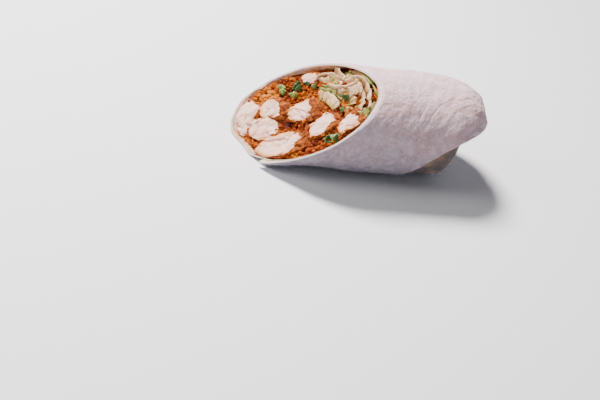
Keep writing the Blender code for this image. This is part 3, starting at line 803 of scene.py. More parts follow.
def end_rows(turn):
    """The tucked end: an egg-shaped cap, pleated, stepping down inside each folded layer to its middle."""
    rows = []
    shares = np.concatenate([np.cos(np.linspace(0.04, 1.2, 34)), np.linspace(0.35, 0.03, 14)])
    for share in shares:
        reach = (1.0 - share**END_ROUNDNESS) ** (1.0 / END_ROUNDNESS)
        x = np.full(turn.shape, SHOULDER_X + (END_X - SHOULDER_X) * reach)
        angle = edge_angle(x) - TURN * turn
        radius = (outer_radius(x, turn) + edge_profile(turn) * smoothstep(share / 0.4)) * share
        ring = on_roll(x, radius, turn)
        relief = skin_relief(ring, turn, x) * smoothstep(share / 0.5)
        circle = np.stack([2.2 * np.cos(angle), 2.2 * np.sin(angle), np.full(turn.shape, 3.0 * share)], -1)
        pucker = ridges(circle, 1.0, 61, 3)
        pleat = np.sin(PLEATS * angle + 4.0 * share) * (1.0 - share)
        rim = smoothstep(share / TUCK_RIM)
        tuck = smoothstep((turn - TUCK_START_TURN) / TUCK_TURN) * rim + TUCK_MIDDLE * (1.0 - rim)
        fold = 0.0
        for at in FOLD_SHARES:
            fold = fold + smoothstep((at + FOLD_WAVER * np.sin(3 * angle + at * 9) - share) / FOLD_WIDTH)
        ring[:, 0] += PLEAT_DEPTH * pleat - FOLD_DEPTH * fold - TUCK * tuck * reach
        ring[:, 0] -= PUCKER_DEPTH * pucker**3 * reach
        radial = np.stack([ring[:, 1], ring[:, 2] - AXIS_HEIGHT], -1)
        radial /= np.linalg.norm(radial, axis=1, keepdims=True) + 1e-9
        ring[:, 1:] += radial * (relief * share - SKIN_DROP)[:, None]
        ring[:, 1] += END_SHIFT_Y * reach**2
        ring[:, 2] += END_SHIFT_Z * reach**2
        ring[:, 0] = np.minimum(ring[:, 0], END_X)
        rows.append(ring)
    return rows


def skin_values(rings, turn, rim, inner_count):
    """For each point: its stain of sauce, whether it is on the cut edge, and how much painted shade it gets
    under the flap.
    """
    cut_end = inner_count + RIM_CUT_ROWS
    stain = np.zeros(rings.shape[:2])
    depth = rings[:inner_count, :, 0] - rim[0][:, 0]
    back = smoothstep(0.75 + rings[:inner_count, :, 1] / STAIN_BACK)
    stain[:inner_count] = smoothstep(depth / STAIN_DEPTH + 0.3) * (0.6 + 0.4 * back)
    low = 1.0 - smoothstep((rings[inner_count:cut_end, :, 2] - STAIN_LOW_Z) / STAIN_LOW_HEIGHT)
    fading = np.linspace(STAIN_RIM, 0.0, RIM_CUT_ROWS)[:, None]
    stain[inner_count:cut_end] = fading + STAIN_RIM_LOW * low
    # Painted shade: the layer under the free edge is painted dark and brownish towards the tucked end.
    under = smoothstep((turn - FLAP_SHADE_TURN) / FLAP_SHADE_TURN_WIDTH)
    under = under * smoothstep((rings[..., 0] - FLAP_SHADE_X) / FLAP_SHADE_LENGTH)
    under[: inner_count + len(rim)] = 0.0
    cut_edge = np.zeros(rings.shape[:2])
    cut_edge[inner_count + RIM_ROUND_ROWS : cut_end] = 1.0
    return [("stain", stain), ("cut_edge", cut_edge), ("under", under)]


class WRAP_OT_tortilla(bpy.types.Operator):
    """One closed skin: up the inner wall, over the cut edge, along the roll and round the tucked end"""

    bl_idname = "wrap.tortilla"
    bl_label = "Tortilla"

    def execute(self, context):
        turn = roll_columns(330)
        rim = rim_rows(turn)
        inner = cavity_rows(turn, rim[0][:, 0])
        outer = outer_rows(turn, rim[-1])
        end = end_rows(turn)
        rings = np.array(inner + rim + outer + end)
        rings[..., 2] = np.maximum(rings[..., 2], 0.0)
        piece = tube("tortilla_skin", rings, skin_values(rings, turn, rim, len(inner)))
        finished(piece, tortilla_finish(context.scene.wrap_look), ["tortilla"])
        return {"FINISHED"}


def strip_outline(strip, columns):
    """A strip's outline as it shows on the cut face: a rounded square, uneven by two sines and by noise."""
    along, across = strip[0] * MM, strip[1] * MM
    half_length, half_width = (strip[2] + strip[9]) * MM, (strip[3] + strip[9]) * MM
    angle = np.arange(columns) * TURN / columns
    uneven = 1.0 + CHICKEN_CRAG * (np.sin(2 * angle + strip[0]) + 0.6 * np.sin(5 * angle + strip[1]))
    corners = np.abs(np.cos(angle)) ** SQUARENESS + np.abs(np.sin(angle)) ** SQUARENESS
    square = corners ** (-1 / SQUARENESS)
    circle = np.stack([np.cos(angle), np.sin(angle), np.full(columns, strip[0])], -1)
    uneven = uneven + CHICKEN_UNEVEN * fractal(circle, 0.55, 71, 3)
    right = half_length * square * uneven * np.cos(angle)
    up = half_width * square * uneven * np.sin(angle)
    turned = math.radians(strip[4])
    y, height = on_face(
        along + right * math.cos(turned) - up * math.sin(turned),
        across + right * math.sin(turned) + up * math.cos(turned),
    )
    return angle, y, height


def held(y, height, x, margin):
    """An outline pulled in where it comes nearer to the tortilla than the margin, and off the floor."""
    wall = inner_radius(x, turn_at(x, y, height))
    pull = np.minimum(1.0, (wall - margin) / np.hypot(y, height))
    return y * pull, np.maximum(height * pull, FLOOR_CLEARANCE - AXIS_HEIGHT)


def strip_skin(strip, columns=132, rows=44):
    """A strip: its cut face as rings from the middle out, domed, fissured and fibrous, then its sides."""
    angle, y, height = strip_outline(strip, columns)
    front_x = cut_x(y, height + AXIS_HEIGHT)
    margin = FACE_MARGIN - rim_thinning(turn_at(front_x, y, height))
    front_y, front_height = held(y, height, front_x, margin)
    middle_y, middle_height = front_y.mean(), front_height.mean()
    side, least, most = math.radians(strip[6]), strip[7], strip[8]
    width = least + (most - least) * (0.5 + 0.5 * np.cos(angle - side)) ** 1.5
    around = np.stack([np.cos(angle), np.sin(angle), np.full(columns, strip[1])], -1)
    width = np.clip(width + 0.16 * fractal(around, 0.45, 73, 3), 0.02, 0.8)
    browning = float(np.clip(2.4 * most, 0.30, 1.0))
    rings, crust, hollow, gold = [], [], [], []
    for share in np.linspace(0.02, 1.0, rows) ** 0.85:
        ring_y = middle_y + (front_y - middle_y) * share
        ring_z = AXIS_HEIGHT + middle_height + (front_height - middle_height) * share
        x = cut_x(ring_y, ring_z)
        points = np.stack([x, ring_y, ring_z], -1)
        fibre = np.stack([x * 0.4, ring_y * 1.5, ring_z * 0.7], -1)
        strands = fractal(fibre, 2.6 * MM, 81, 4)
        clefts = smoothstep((ridges(points + strip[0], 11.0 * MM, 83, 3) - 0.88) / 0.12)
        pores = smoothstep((ridges(points + strip[1], 4.2 * MM, 85, 2) - 0.94) / 0.06)
        rounded = EDGE_ROUNDING * share**7
        coat = smoothstep((share - (1.0 - width)) / 0.20 + 0.5)
        crumbs = COAT_HEIGHT * coat * (ridges(points, 3.0 * MM, 87, 3) - 0.25)
        relief = FIBRE_DEPTH * strands + TORN_DEPTH * fractal(points, 7.0 * MM, 89, 3)
        deeper = rounded - relief + CLEFT_DEPTH * clefts + PORE_DEPTH * pores - crumbs
        ring_x = x - strip[5] * MM + deeper
        rings.append(np.stack([ring_x, ring_y, ring_z], -1))
        crust.append(coat)
        # hollow: the clefts and pores, which the chicken's finish paints darker as painted shade
        hollow.append(np.clip(0.7 * clefts + 0.25 * pores, 0.0, 1.0))
        gold.append(np.full(columns, browning * smoothstep((share - 0.50) / 0.50)))
    edge = rings[-1][:, 0]
    back_y, back_height = held(y, height, np.full(columns, STRAIGHT_END_X), BACK_MARGIN)
    for share in SIDE_SHARES:
        ring_y = front_y + (back_y - front_y) * share
        ring_z = AXIS_HEIGHT + front_height + (back_height - front_height) * share
        rings.append(np.stack([edge + (STRAIGHT_END_X - edge) * share, ring_y, ring_z], -1))
        crust.append(np.clip(4.0 * width + 0.3, 0.0, 1.0))
        hollow.append(np.zeros(columns))
        gold.append(np.ones(columns))
    halfway = 0.5 * (STRAIGHT_END_X + STRIP_END_X)
    for share, x in ((0.96, halfway), (0.9, STRIP_END_X), (0.5, STRIP_END_X + MM)):
        far_y, far_height = held(y, height, np.full(columns, x), BACK_MARGIN)
        ring_y = far_y.mean() + (far_y - far_y.mean()) * share
        ring_z = AXIS_HEIGHT + far_height.mean() + (far_height - far_height.mean()) * share
        rings.append(np.stack([np.full(columns, x), ring_y, ring_z], -1))
        crust.append(np.ones(columns))
        hollow.append(np.zeros(columns))
        gold.append(np.ones(columns))
    return np.array(rings), np.array(crust), np.array(hollow), np.array(gold)


class WRAP_OT_chicken(bpy.types.Operator):
    """Each strip of breaded chicken, with its torn white face at the cut and its browned coat"""

    bl_idname = "wrap.chicken"
    bl_label = "Chicken strips"

    def execute(self, context):
        material = chicken_finish(context.scene.wrap_look)
        for name, strip in CHICKEN.items():
            rings, crust, hollow, gold = strip_skin(strip)
            piece = tube(f"{name}_meat", rings, [("crust", crust), ("hollow", hollow), ("gold", gold)])
            finished(piece, material, [name])
        return {"FINISHED"}


def face_recess(y, z):
    """How much deeper than the cut the filling's face lies: more near the upper wall, with a few pits."""
    offset = np.stack([cut_x(y, z) - CUT_X, y, z - AXIS_HEIGHT], axis=-1)
    along, across = offset @ LONG_AXIS / MM, offset @ CROSS_AXIS / MM
    out = np.hypot(y, z - AXIS_HEIGHT) / ROLL_RADIUS
    top = smoothstep((along - TOP_ALONG) / TOP_ALONG_WIDTH)
    top *= smoothstep((across - TOP_ACROSS) / TOP_ACROSS_WIDTH)
    recess = FACE_RECESS + TOP_RECESS * smoothstep((out - TOP_OUT) / TOP_OUT_WIDTH) * top
    for pit_along, pit_across, width in PITS:
        distance = ((along - pit_along) ** 2 + (across - pit_across) ** 2) / width**2
        recess += PIT_DEPTH * np.exp(-distance)
    return recess


class WRAP_OT_filling(bpy.types.Operator):
    """The sauce and fine crumbs between the strips, as one craggy block inside the tortilla"""

    bl_idname = "wrap.filling"
    bl_label = "Sauce and fine crumbs"

    def execute(self, context):
        turn = np.linspace(0.0, 1.0, 220, endpoint=False)
        radius = inner_radius(np.full(turn.shape, CUT_X), turn) - GAP + rim_thinning(turn, SAUCE_RIM_DEPTH)
        rings, tone = [], []
        for share in np.linspace(0.015, 1.0, 90):
            ring = on_roll(np.full(turn.shape, CUT_X), radius * share, turn)
            flat = ring.copy()
            flat[:, 0] = cut_x(ring[:, 1], ring[:, 2])
            crag = ridges(flat, 5.2 * MM, 91, 4)
            relief = SAUCE_CRAG * (crag - SAUCE_CRAG_LEVEL) + SAUCE_WAVE * fractal(flat, 8.0 * MM, 93, 4)
            ring[:, 0] = flat[:, 0] + face_recess(ring[:, 1], ring[:, 2]) - relief + SAUCE_DROP
            rings.append(ring)
            # Partly painted shade: the tone is darker in the hollows between the crags and lighter on their
            # crests; the patches are the sauce's own tone.
            patch = fractal(flat, TONE_PATCH, TONE_SEED, 3)
            tone.append(np.clip(0.05 + 0.75 * (crag - 0.30) + 0.42 * patch, 0.0, 1.0))
        edge = rings[-1][:, 0]
        for share in WALL_SHARES:
            x = edge + (CAVITY_X - edge) * share
            thinner = rim_thinning(turn, x - edge + SAUCE_RIM_DEPTH)
            rings.append(on_roll(x, inner_radius(x, turn) - GAP + thinner, turn))
            tone.append(np.full(turn.shape, SAUCE_SIDE_TONE))
        for share in DOME_SHARES:
            reach = math.sqrt(1.0 - share**2)
            x = np.full(turn.shape, CAVITY_X + (CAVITY_END_X - CAVITY_X) * reach - 2.0 * GAP)
            rings.append(on_roll(x, (inner_radius(x, turn) - GAP) * share, turn))
            tone.append(np.full(turn.shape, SAUCE_SIDE_TONE))
        piece = tube("sauce_and_crumb", rings, [("tone", tone)])
        finished(piece, crumb_finish(context.scene.wrap_look), ["crumb_filling"])
        return {"FINISHED"}


TONE_PATCH, TONE_SEED = 8.5 * MM, 97  # lighter and darker patches, the same for the sauce and the crumbs
CRUMB_TRIES = 5  # places tried for each crumb wanted
CRUMB_FIELD_ALONG, CRUMB_FIELD_ACROSS = 42.0, 25.0  # in mm, each way from the middle of the cut face
CRUMB_CHANCE, CRUMB_CHANCE_IN_HEAP = 0.45, 0.05  # the share kept outside the clumps
CRUMB_SEED = 5
CRUMB_FLATNESS, CRUMB_ROUGHNESS = 0.75, 0.70
CRUMB_TONE, CRUMB_TONE_PATCH, CRUMB_TONE_EACH = 0.54, 0.34, 0.09  # the usual tone, and how much it varies
CRUMB_SPREAD = 1.7  # the largest crumb's width as a share of the usual one
CRUMB_STRIP_OVERLAP, CRUMB_HEAP_OVERLAP = 0.8, 1.0  # in mm: how far crumbs lie over a strip or the heap
CRUMB_WALL_OVERLAP, CRUMB_CLEARANCE = 0.4 * MM, 1.5 * MM  # into the wall's thinned edge, and off the floor
CRUMB_RECESS_SHARE = 0.66  # they sink with the filling's face by this share of its depth
CRUMB_OUT = (-1.2, 0.3)  # and lie this far out of there, in mm
# Where the crumbs lie thick: along and across the cut face and the width, in mm, the share kept there,
# and how much lighter or darker they are
CLUMPS = (
    (-34.0, -11.0, 6.0, 1.0, 0.05),
    (-22.0, 18.0, 9.0, 1.0, 0.12),
    (-8.0, 22.0, 7.0, 1.0, 0.05),
    (28.0, 17.0, 6.0, 0.9, -0.30),
    (26.0, -2.0, 7.0, 0.8, 0.10),
    (8.0, -18.0, 8.0, 1.0, -0.20),
    (-18.0, -23.0, 8.0, 1.0, -0.30),
    (-10.5, -3.0, 6.0, 0.3, -0.30),
)


def covers(strip, grow, along, across):
    """Whether places on the cut face lie in a strip's outline, grown by this many mm."""
    turned = math.radians(strip[4])
    right = (along - strip[0]) * math.cos(turned) + (across - strip[1]) * math.sin(turned)
    up = (across - strip[1]) * math.cos(turned) - (along - strip[0]) * math.sin(turned)
    right = np.abs(right) / (strip[2] + grow)
    up = np.abs(up) / (strip[3] + grow)
    return right**SQUARENESS + up**SQUARENESS < 1.0


def ball():
    """Corners and faces of a ball of eighty faces: a twenty-sided solid, each face split in four."""
    golden = (1.0 + math.sqrt(5.0)) / 2.0
    corners = [(-1, golden, 0), (1, golden, 0), (-1, -golden, 0), (1, -golden, 0)]
    corners += [(z, x, y) for x, y, z in corners[:4]] + [(y, z, x) for x, y, z in corners[:4]]
    corners = np.array(corners, float) / math.hypot(1.0, golden)
    gaps = np.linalg.norm(corners[:, None] - corners[None], axis=-1)
    near = (gaps > 0.1) & (gaps < 1.2)
    triples = combinations(range(len(corners)), 3)
    faces = [(a, b, c) for a, b, c in triples if near[a, b] and near[b, c] and near[a, c]]
    points, split, middle = [tuple(corner) for corner in corners], [], {}

    def between(a, b):
        key = (min(a, b), max(a, b))
        if key not in middle:
            place = corners[a] + corners[b]
            middle[key] = len(points)
            points.append(tuple(place / np.linalg.norm(place)))
        return middle[key]

    for a, b, c in faces:
        if np.dot(np.cross(corners[b] - corners[a], corners[c] - corners[a]), corners[a]) < 0:
            b, c = c, b
        ab, bc, ca = between(a, b), between(b, c), between(c, a)
        split += [(a, ab, ca), (ab, b, bc), (ca, bc, c), (ab, bc, ca)]
    return np.array(points), np.array(split)


def crumb_mesh(name, places, radii, tones, draw):
    """Crumbs as copies of one ball, each squeezed, turned and roughened by its own noise."""
    shape, faces = ball()
    count = len(places)
    squeeze = draw.uniform(0.6, 1.25, (count, 1, 3)) * (1.0, 1.0, CRUMB_FLATNESS)
    rough_place = shape[None] * 1.3 + draw.uniform(0, 90, (count, 1, 3))
    rough = 1.0 + CRUMB_ROUGHNESS * fractal(rough_place, 1.0, 101, 2)
    local = shape[None] * squeeze * rough[..., None]
    spin = draw.normal(size=(count, 4))
    spin /= np.linalg.norm(spin, axis=1, keepdims=True)
    w, x, y, z = spin.T
    turned = np.stack(
        [
            np.stack([1 - 2 * (y * y + z * z), 2 * (x * y - z * w), 2 * (x * z + y * w)], -1),
            np.stack([2 * (x * y + z * w), 1 - 2 * (x * x + z * z), 2 * (y * z - x * w)], -1),
            np.stack([2 * (x * z - y * w), 2 * (y * z + x * w), 1 - 2 * (x * x + y * y)], -1),
        ],
        axis=1,
    )
    points = np.einsum("nij,nkj->nki", turned, local) * radii[:, None, None] + places[:, None]
    all_faces = faces[None] + (np.arange(count) * len(shape))[:, None, None]
    tone = np.repeat(tones, len(shape))
    piece = mesh_from(name, points, all_faces.reshape(-1, 3).tolist(), [("tone", tone)])
    piece.data.shade_flat()
    return piece


class WRAP_OT_crumbs(bpy.types.Operator):
    """The larger crisp crumbs, scattered over the filling's face and against the strips"""

    bl_idname = "wrap.crumbs"
    bl_label = "Crisp crumbs"

    def execute(self, context):
        look = context.scene.wrap_look
        draw = np.random.default_rng(CRUMB_SEED)
        tries = look.crumb_count * CRUMB_TRIES
        along = draw.uniform(-CRUMB_FIELD_ALONG, CRUMB_FIELD_ALONG, tries)
        across = draw.uniform(-CRUMB_FIELD_ACROSS, CRUMB_FIELD_ACROSS, tries)
        y, height = on_face(along * MM, across * MM)
        x = cut_x(y, height + AXIS_HEIGHT)
        radius = look.crumb_size * 0.5 * draw.uniform(0.35, 1.0, tries) ** 1.4 * CRUMB_SPREAD
        wall = inner_radius(x, turn_at(x, y, height)) + CRUMB_WALL_OVERLAP
        keep = np.hypot(y, height) < wall - radius * 1.2
        keep &= height + AXIS_HEIGHT > CRUMB_CLEARANCE + 2.2 * radius
        for strip in CHICKEN.values():
            keep &= ~covers(strip, strip[9] - CRUMB_STRIP_OVERLAP, along, across)
        in_heap = covers(HEAP, -CRUMB_HEAP_OVERLAP, along, across)
        chance = np.where(in_heap, CRUMB_CHANCE_IN_HEAP, CRUMB_CHANCE)
        lighter = np.zeros(tries)
        for clump_along, clump_across, width, most, tint in CLUMPS:
            near = np.exp(-(((along - clump_along) ** 2 + (across - clump_across) ** 2) / width**2))
            chance = np.maximum(chance, most * near)
            lighter += tint * near
        keep &= draw.uniform(0, 1, tries) < chance
        keep[np.nonzero(keep)[0][look.crumb_count :]] = False
        recess = face_recess(y, height + AXIS_HEIGHT)
        out = -recess / MM * CRUMB_RECESS_SHARE + draw.uniform(*CRUMB_OUT, tries)
        places = face_place(along, across, out)[keep]
        patch = fractal(places, TONE_PATCH, TONE_SEED, 3)
        tone = CRUMB_TONE + CRUMB_TONE_PATCH * patch + lighter[keep]
        tone += CRUMB_TONE_EACH * draw.normal(size=len(places))
        piece = crumb_mesh("crisp_crumbs", places, radius[keep], tone, draw)
        finished(piece, crumb_finish(look))
        return {"FINISHED"}


# Lettuce: start, middle and end on the cut face, height out of it, depth and thickness, all in mm,
# green from 0 to 1, ruffle in mm, and how far it leans over, in degrees
LEAVES = (
    (7.8, 17.4, 12.0, 25.5, 24.0, 13.6, 0.8, 7.0, 0.8, 0.04, 0.3, 20.0),
    (9.4, 16.9, 15.1, 21.6, 22.6, 12.1, -0.6, 6.5, 0.7, 0.10, 0.4, 62.0),
    (20.8, 23.1, 22.8, 18.9, 24.9, 12.7, 0.9, 6.0, 0.8, 0.14, 0.4, 35.0),
    (14.8, 14.2, 19.3, 6.9, 32.1, 10.9, 1.9, 6.0, 1.3, 0.00, 0.4, 25.0),
    (16.8, 12.6, 21.3, 5.0, 30.0, 8.0, 0.6, 6.0, 0.8, 0.12, 0.6, 50.0),
    (25.5, 7.2, 29.7, 9.1, 33.4, 8.1, 1.9, 5.0, 1.0, 0.00, 0.4, 68.0),
    (24.3, 12.3, 31.5, 15.9, 36.0, 10.5, 1.4, 7.0, 1.1, 0.02, 0.3, 30.0),
    (35.0, 11.5, 39.9, 2.8, 37.6, -7.1, 1.2, 7.0, 1.2, 0.05, 0.3, 40.0),
    (32.8, 8.2, 36.4, 0.0, 32.8, -7.5, 0.9, 6.5, 0.9, 0.12, 0.4, 55.0),
    (29.2, -7.6, 35.8, -8.0, 40.6, -4.8, 0.5, 6.0, 0.8, 0.36, 0.5, 60.0),
    (34.0, 14.4, 40.4, 6.1, 42.4, -3.5, 0.6, 8.0, 1.0, 0.66, 0.2, 10.0),
    (8.4, 11.1, 15.1, 10.5, 20.5, -0.6, 0.2, 5.5, 0.8, 0.22, 0.4, 72.0),
    (9.5, 13.0, 15.7, 12.0, 21.5, 2.5, 0.5, 5.0, 0.6, 0.34, 0.5, 55.0),
    (11.4, 13.9, 15.7, 10.9, 19.2, 6.3, 1.0, 5.0, 0.6, 0.55, 0.4, 30.0),
    (26.6, 4.9, 30.3, 1.6, 29.1, -2.9, 0.6, 5.5, 0.8, 0.30, 0.4, 68.0),
    (15.9, 18.3, 21.3, 16.2, 28.2, 16.2, 0.2, 6.0, 0.8, 0.20, 0.5, 60.0),
    (30.2, 12.8, 33.4, 7.5, 33.0, 2.5, 1.5, 6.0, 0.9, 0.00, 0.4, 35.0),
    (21.5, -1.8, 26.0, -4.2, 31.0, -4.0, -0.4, 5.0, 0.7, 0.30, 0.5, 55.0),
)
# Spring onion: start, middle and end, height, depth, thickness, green, ruffle and lean, as above
ONIONS = (
    (-14.1, 19.0, -11.7, 20.6, -9.4, 17.4, 0.9, 4.0, 1.5, 0.12, 0.1, 40.0),
    (-13.4, 16.6, -11.2, 17.6, -9.4, 15.6, 0.8, 3.5, 1.3, 0.26, 0.1, 55.0),
    (-5.7, 15.3, -4.4, 18.6, -0.8, 19.2, 1.2, 3.0, 1.5, 0.74, 0.1, 35.0),
    (-4.0, 14.6, -2.4, 16.8, -0.4, 16.8, 0.9, 3.0, 1.0, 0.86, 0.1, 50.0),
    (1.3, 17.4, 3.1, 18.9, 5.0, 16.1, 1.1, 3.0, 1.2, 1.00, 0.1, 40.0),
    (5.2, 14.0, 7.0, 16.1, 8.5, 14.0, 0.9, 3.0, 1.2, 0.46, 0.1, 50.0),
    (19.8, 23.8, 21.3, 25.0, 22.6, 23.0, -0.4, 3.0, 1.3, 0.92, 0.1, 40.0),
    (21.7, 3.1, 24.1, 5.2, 26.2, 2.5, 1.7, 3.5, 1.3, 0.82, 0.1, 50.0),
    (26.3, 17.0, 27.3, 19.2, 28.4, 17.2, 0.2, 3.0, 1.2, 0.50, 0.1, 40.0),
    (13.4, -21.2, 13.4, -18.0, 16.0, -18.6, 1.3, 3.0, 1.3, 0.95, 0.1, 40.0),
    (18.0, -21.0, 19.4, -18.4, 21.2, -19.4, 1.0, 3.0, 1.2, 0.55, 0.1, 45.0),
    (-7.7, 13.1, -5.3, 14.3, -3.0, 12.5, 0.8, 3.0, 1.2, 0.22, 0.1, 55.0),
    (19.9, -3.0, 21.6, -1.7, 22.8, -4.4, 0.8, 3.0, 1.1, 0.44, 0.1, 50.0),
)


RIBBON_UNEVEN = 0.9  # in mm, how uneven a shred's top edge is
RIBBON_WAVE = 1.6  # its sideways waves for each mm of ruffle
LEAF_MARGIN, SLIP_MARGIN = 0.5 * MM, 0.4 * MM  # clearance from lettuce and onion to the tortilla
SLIP_SEED = 40  # the first seed of the onion slips, beyond those of the leaves


def ribbon(row, seed, along_count=46, deep_count=14):
    """A sheet along a bent line on the cut face that runs down into the food, most ruffled at its top."""
    start, middle, end = (np.array(row[i : i + 2]) for i in (0, 2, 4))
    height, depth, thickness, green, ruffle, lean = row[6:]
    share = np.linspace(0.0, 1.0, along_count)[:, None]
    deep = np.linspace(0.0, 1.0, deep_count)[None, :]
    line = start * (1 - share) ** 2 + middle * 2 * share * (1 - share) + end * share**2
    heading = np.gradient(line, axis=0)
    heading /= np.linalg.norm(heading, axis=1, keepdims=True)
    sideways = np.stack([-heading[:, 1], heading[:, 0]], -1)
    seeded = np.stack([share[:, 0] * 6.0, np.full(along_count, seed * 3.7), np.zeros(along_count)], -1)
    top = height + RIBBON_UNEVEN * fractal(seeded, 1.0, 111, 3)
    sheet = np.stack(np.broadcast_arrays(share * 7.0, deep * 2.5, np.array([[seed * 5.1]])), -1)
    wave = RIBBON_WAVE * ruffle * (0.35 + 0.65 * (1.0 - deep)) * fractal(sheet, 1.0, 113, 3)
    out = top[:, None] - deep * depth * math.cos(math.radians(lean))
    aside = wave - deep * depth * math.sin(math.radians(lean))
    along = line[:, 0:1] + sideways[:, 0:1] * aside
    across = line[:, 1:2] + sideways[:, 1:2] * aside
    points = face_place(along, across, out)
    to_ends = np.minimum(1.0, 4.0 * np.minimum(share, 1.0 - share) + 0.35)
    to_top = 0.55 + 0.45 * np.minimum(1.0, deep * 6.0)
    rings = slab(points, thickness * MM * to_ends * to_top)
    ruffled_edge = 0.25 * (1.0 - deep) * (green > 0.3)
    tint = green + ruffled_edge + 0.22 * deep + 0.32 * fractal(sheet, 0.9, 115, 3)
    tint = np.concatenate([tint, tint[:, ::-1]], axis=1)
    return rings, {"green": np.clip(tint, 0.0, 1.0)}


def inside_wall(rings, margin):
    """The same rings, pulled towards the roll's axis where they would pass the tortilla's inner wall."""
    y, height = rings[..., 1], rings[..., 2] - AXIS_HEIGHT
    y, height = held(y, height, rings[..., 0], margin)
    return np.stack([rings[..., 0], y, height + AXIS_HEIGHT], -1)


class WRAP_OT_lettuce(bpy.types.Operator):
    """Shredded lettuce: pale crumpled leaf below, with ribs and ruffled shreds standing out of it"""

    bl_idname = "wrap.lettuce"
    bl_label = "Lettuce"

    def execute(self, context):
        material = lettuce_finish(context.scene.wrap_look)
        heap = (*HEAP[:5], HEAP[5] - HEAP_DROP, 0.0, 0.0, 0.0, HEAP_SWELL)
        rings, *_ = strip_skin(heap)
        crumple = HEAP_CRUMPLE * fractal(rings, 4.6 * MM, 121, 4)
        crumple[-len(SIDE_SHARES) - 3 :] = 0.0
        rings[..., 0] += crumple
        shade = np.clip(0.60 + 0.55 * fractal(rings, 0.006, 123, 3), 0.0, 1.0)
        skins = [(rings, {"green": shade})]
        for number, leaf in enumerate(LEAVES):
            shape, named = ribbon(leaf, number)
            skins.append((inside_wall(shape, LEAF_MARGIN), named))
        piece = join_tubes("lettuce_shreds", skins)
        finished(piece, material, ["lettuce_heap"])
        return {"FINISHED"}


class WRAP_OT_onion(bpy.types.Operator):
    """Cut pieces of spring onion: curled slips on the filling, and the larger one by the lower rim"""

    bl_idname = "wrap.onion"
    bl_label = "Spring onion"

    def execute(self, context):
        material = onion_finish(context.scene.wrap_look)
        skins = []
        for number, slip in enumerate(ONIONS):
            shape, named = ribbon(slip, SLIP_SEED + number, 24, 8)
            skins.append((inside_wall(shape, SLIP_MARGIN), named))
        piece = join_tubes("onion_slips", skins)
        finished(piece, material)
        rings, *_ = strip_skin(ONION_LOW, 72, 24)
        shade = np.clip(0.55 + 0.5 * fractal(rings, 0.0028, 131, 3), 0.0, 1.0)
        piece = tube("onion_low", rings, [("green", shade)])
        finished(piece, material, ["spring_onion"])
        return {"FINISHED"}


# The camera: its turn about the upright, its height and its roll, as seen from the middle of the cut face
VIEW_TURN, VIEW_LIFT, VIEW_ROLL = math.radians(20.0), math.radians(38.0), math.radians(5.74)
VIEW_CENTRE = np.array([-34.0, 0.0, 26.5]) * MM
VIEW_DISTANCE, FOCAL, SENSOR = 620.0 * MM, 69.08, 36.0
IMAGE_PER_MM = 1.857
AIM_RIGHT, AIM_UP = 6.0, 88.0  # how far the image's middle lies from that point, in image points

FLOOR_SIZE, FLOOR_DROP = 4.0, 0.2 * MM
SKY_COLOUR, SKY_STRENGTH = (0.84, 0.90, 1.0, 1.0), 0.20
# Area lights: name, place, what each shines at, size, power and colour
LAMPS = (
    ("key", (-0.32, 0.44, 0.76), (0.0, 0.0, 0.02), 0.26, 29.0, (1.0, 0.94, 0.93)),
    ("fill", (-0.80, -0.05, 0.60), (-0.03, 0.0, 0.02), 0.4, 4.0, (1.0, 0.97, 0.95)),
)


def camera_axes():
    """Back towards the camera, right and up, for a roll that is seen at the first angle."""
    lift = np.array([0.0, math.sin(VIEW_LIFT), math.cos(VIEW_LIFT)])
    away = -math.cos(VIEW_TURN) * np.array([0.0, math.cos(VIEW_LIFT), -math.sin(VIEW_LIFT)])
    back = np.array([-math.sin(VIEW_TURN), away[1], away[2]])
    level = np.array([1.0, 0.0, 0.0]) + math.sin(VIEW_TURN) * back
    level /= np.linalg.norm(level)
    right = math.cos(VIEW_ROLL) * level + math.sin(VIEW_ROLL) * lift
    up = -math.sin(VIEW_ROLL) * level + math.cos(VIEW_ROLL) * lift
    return back, right, up


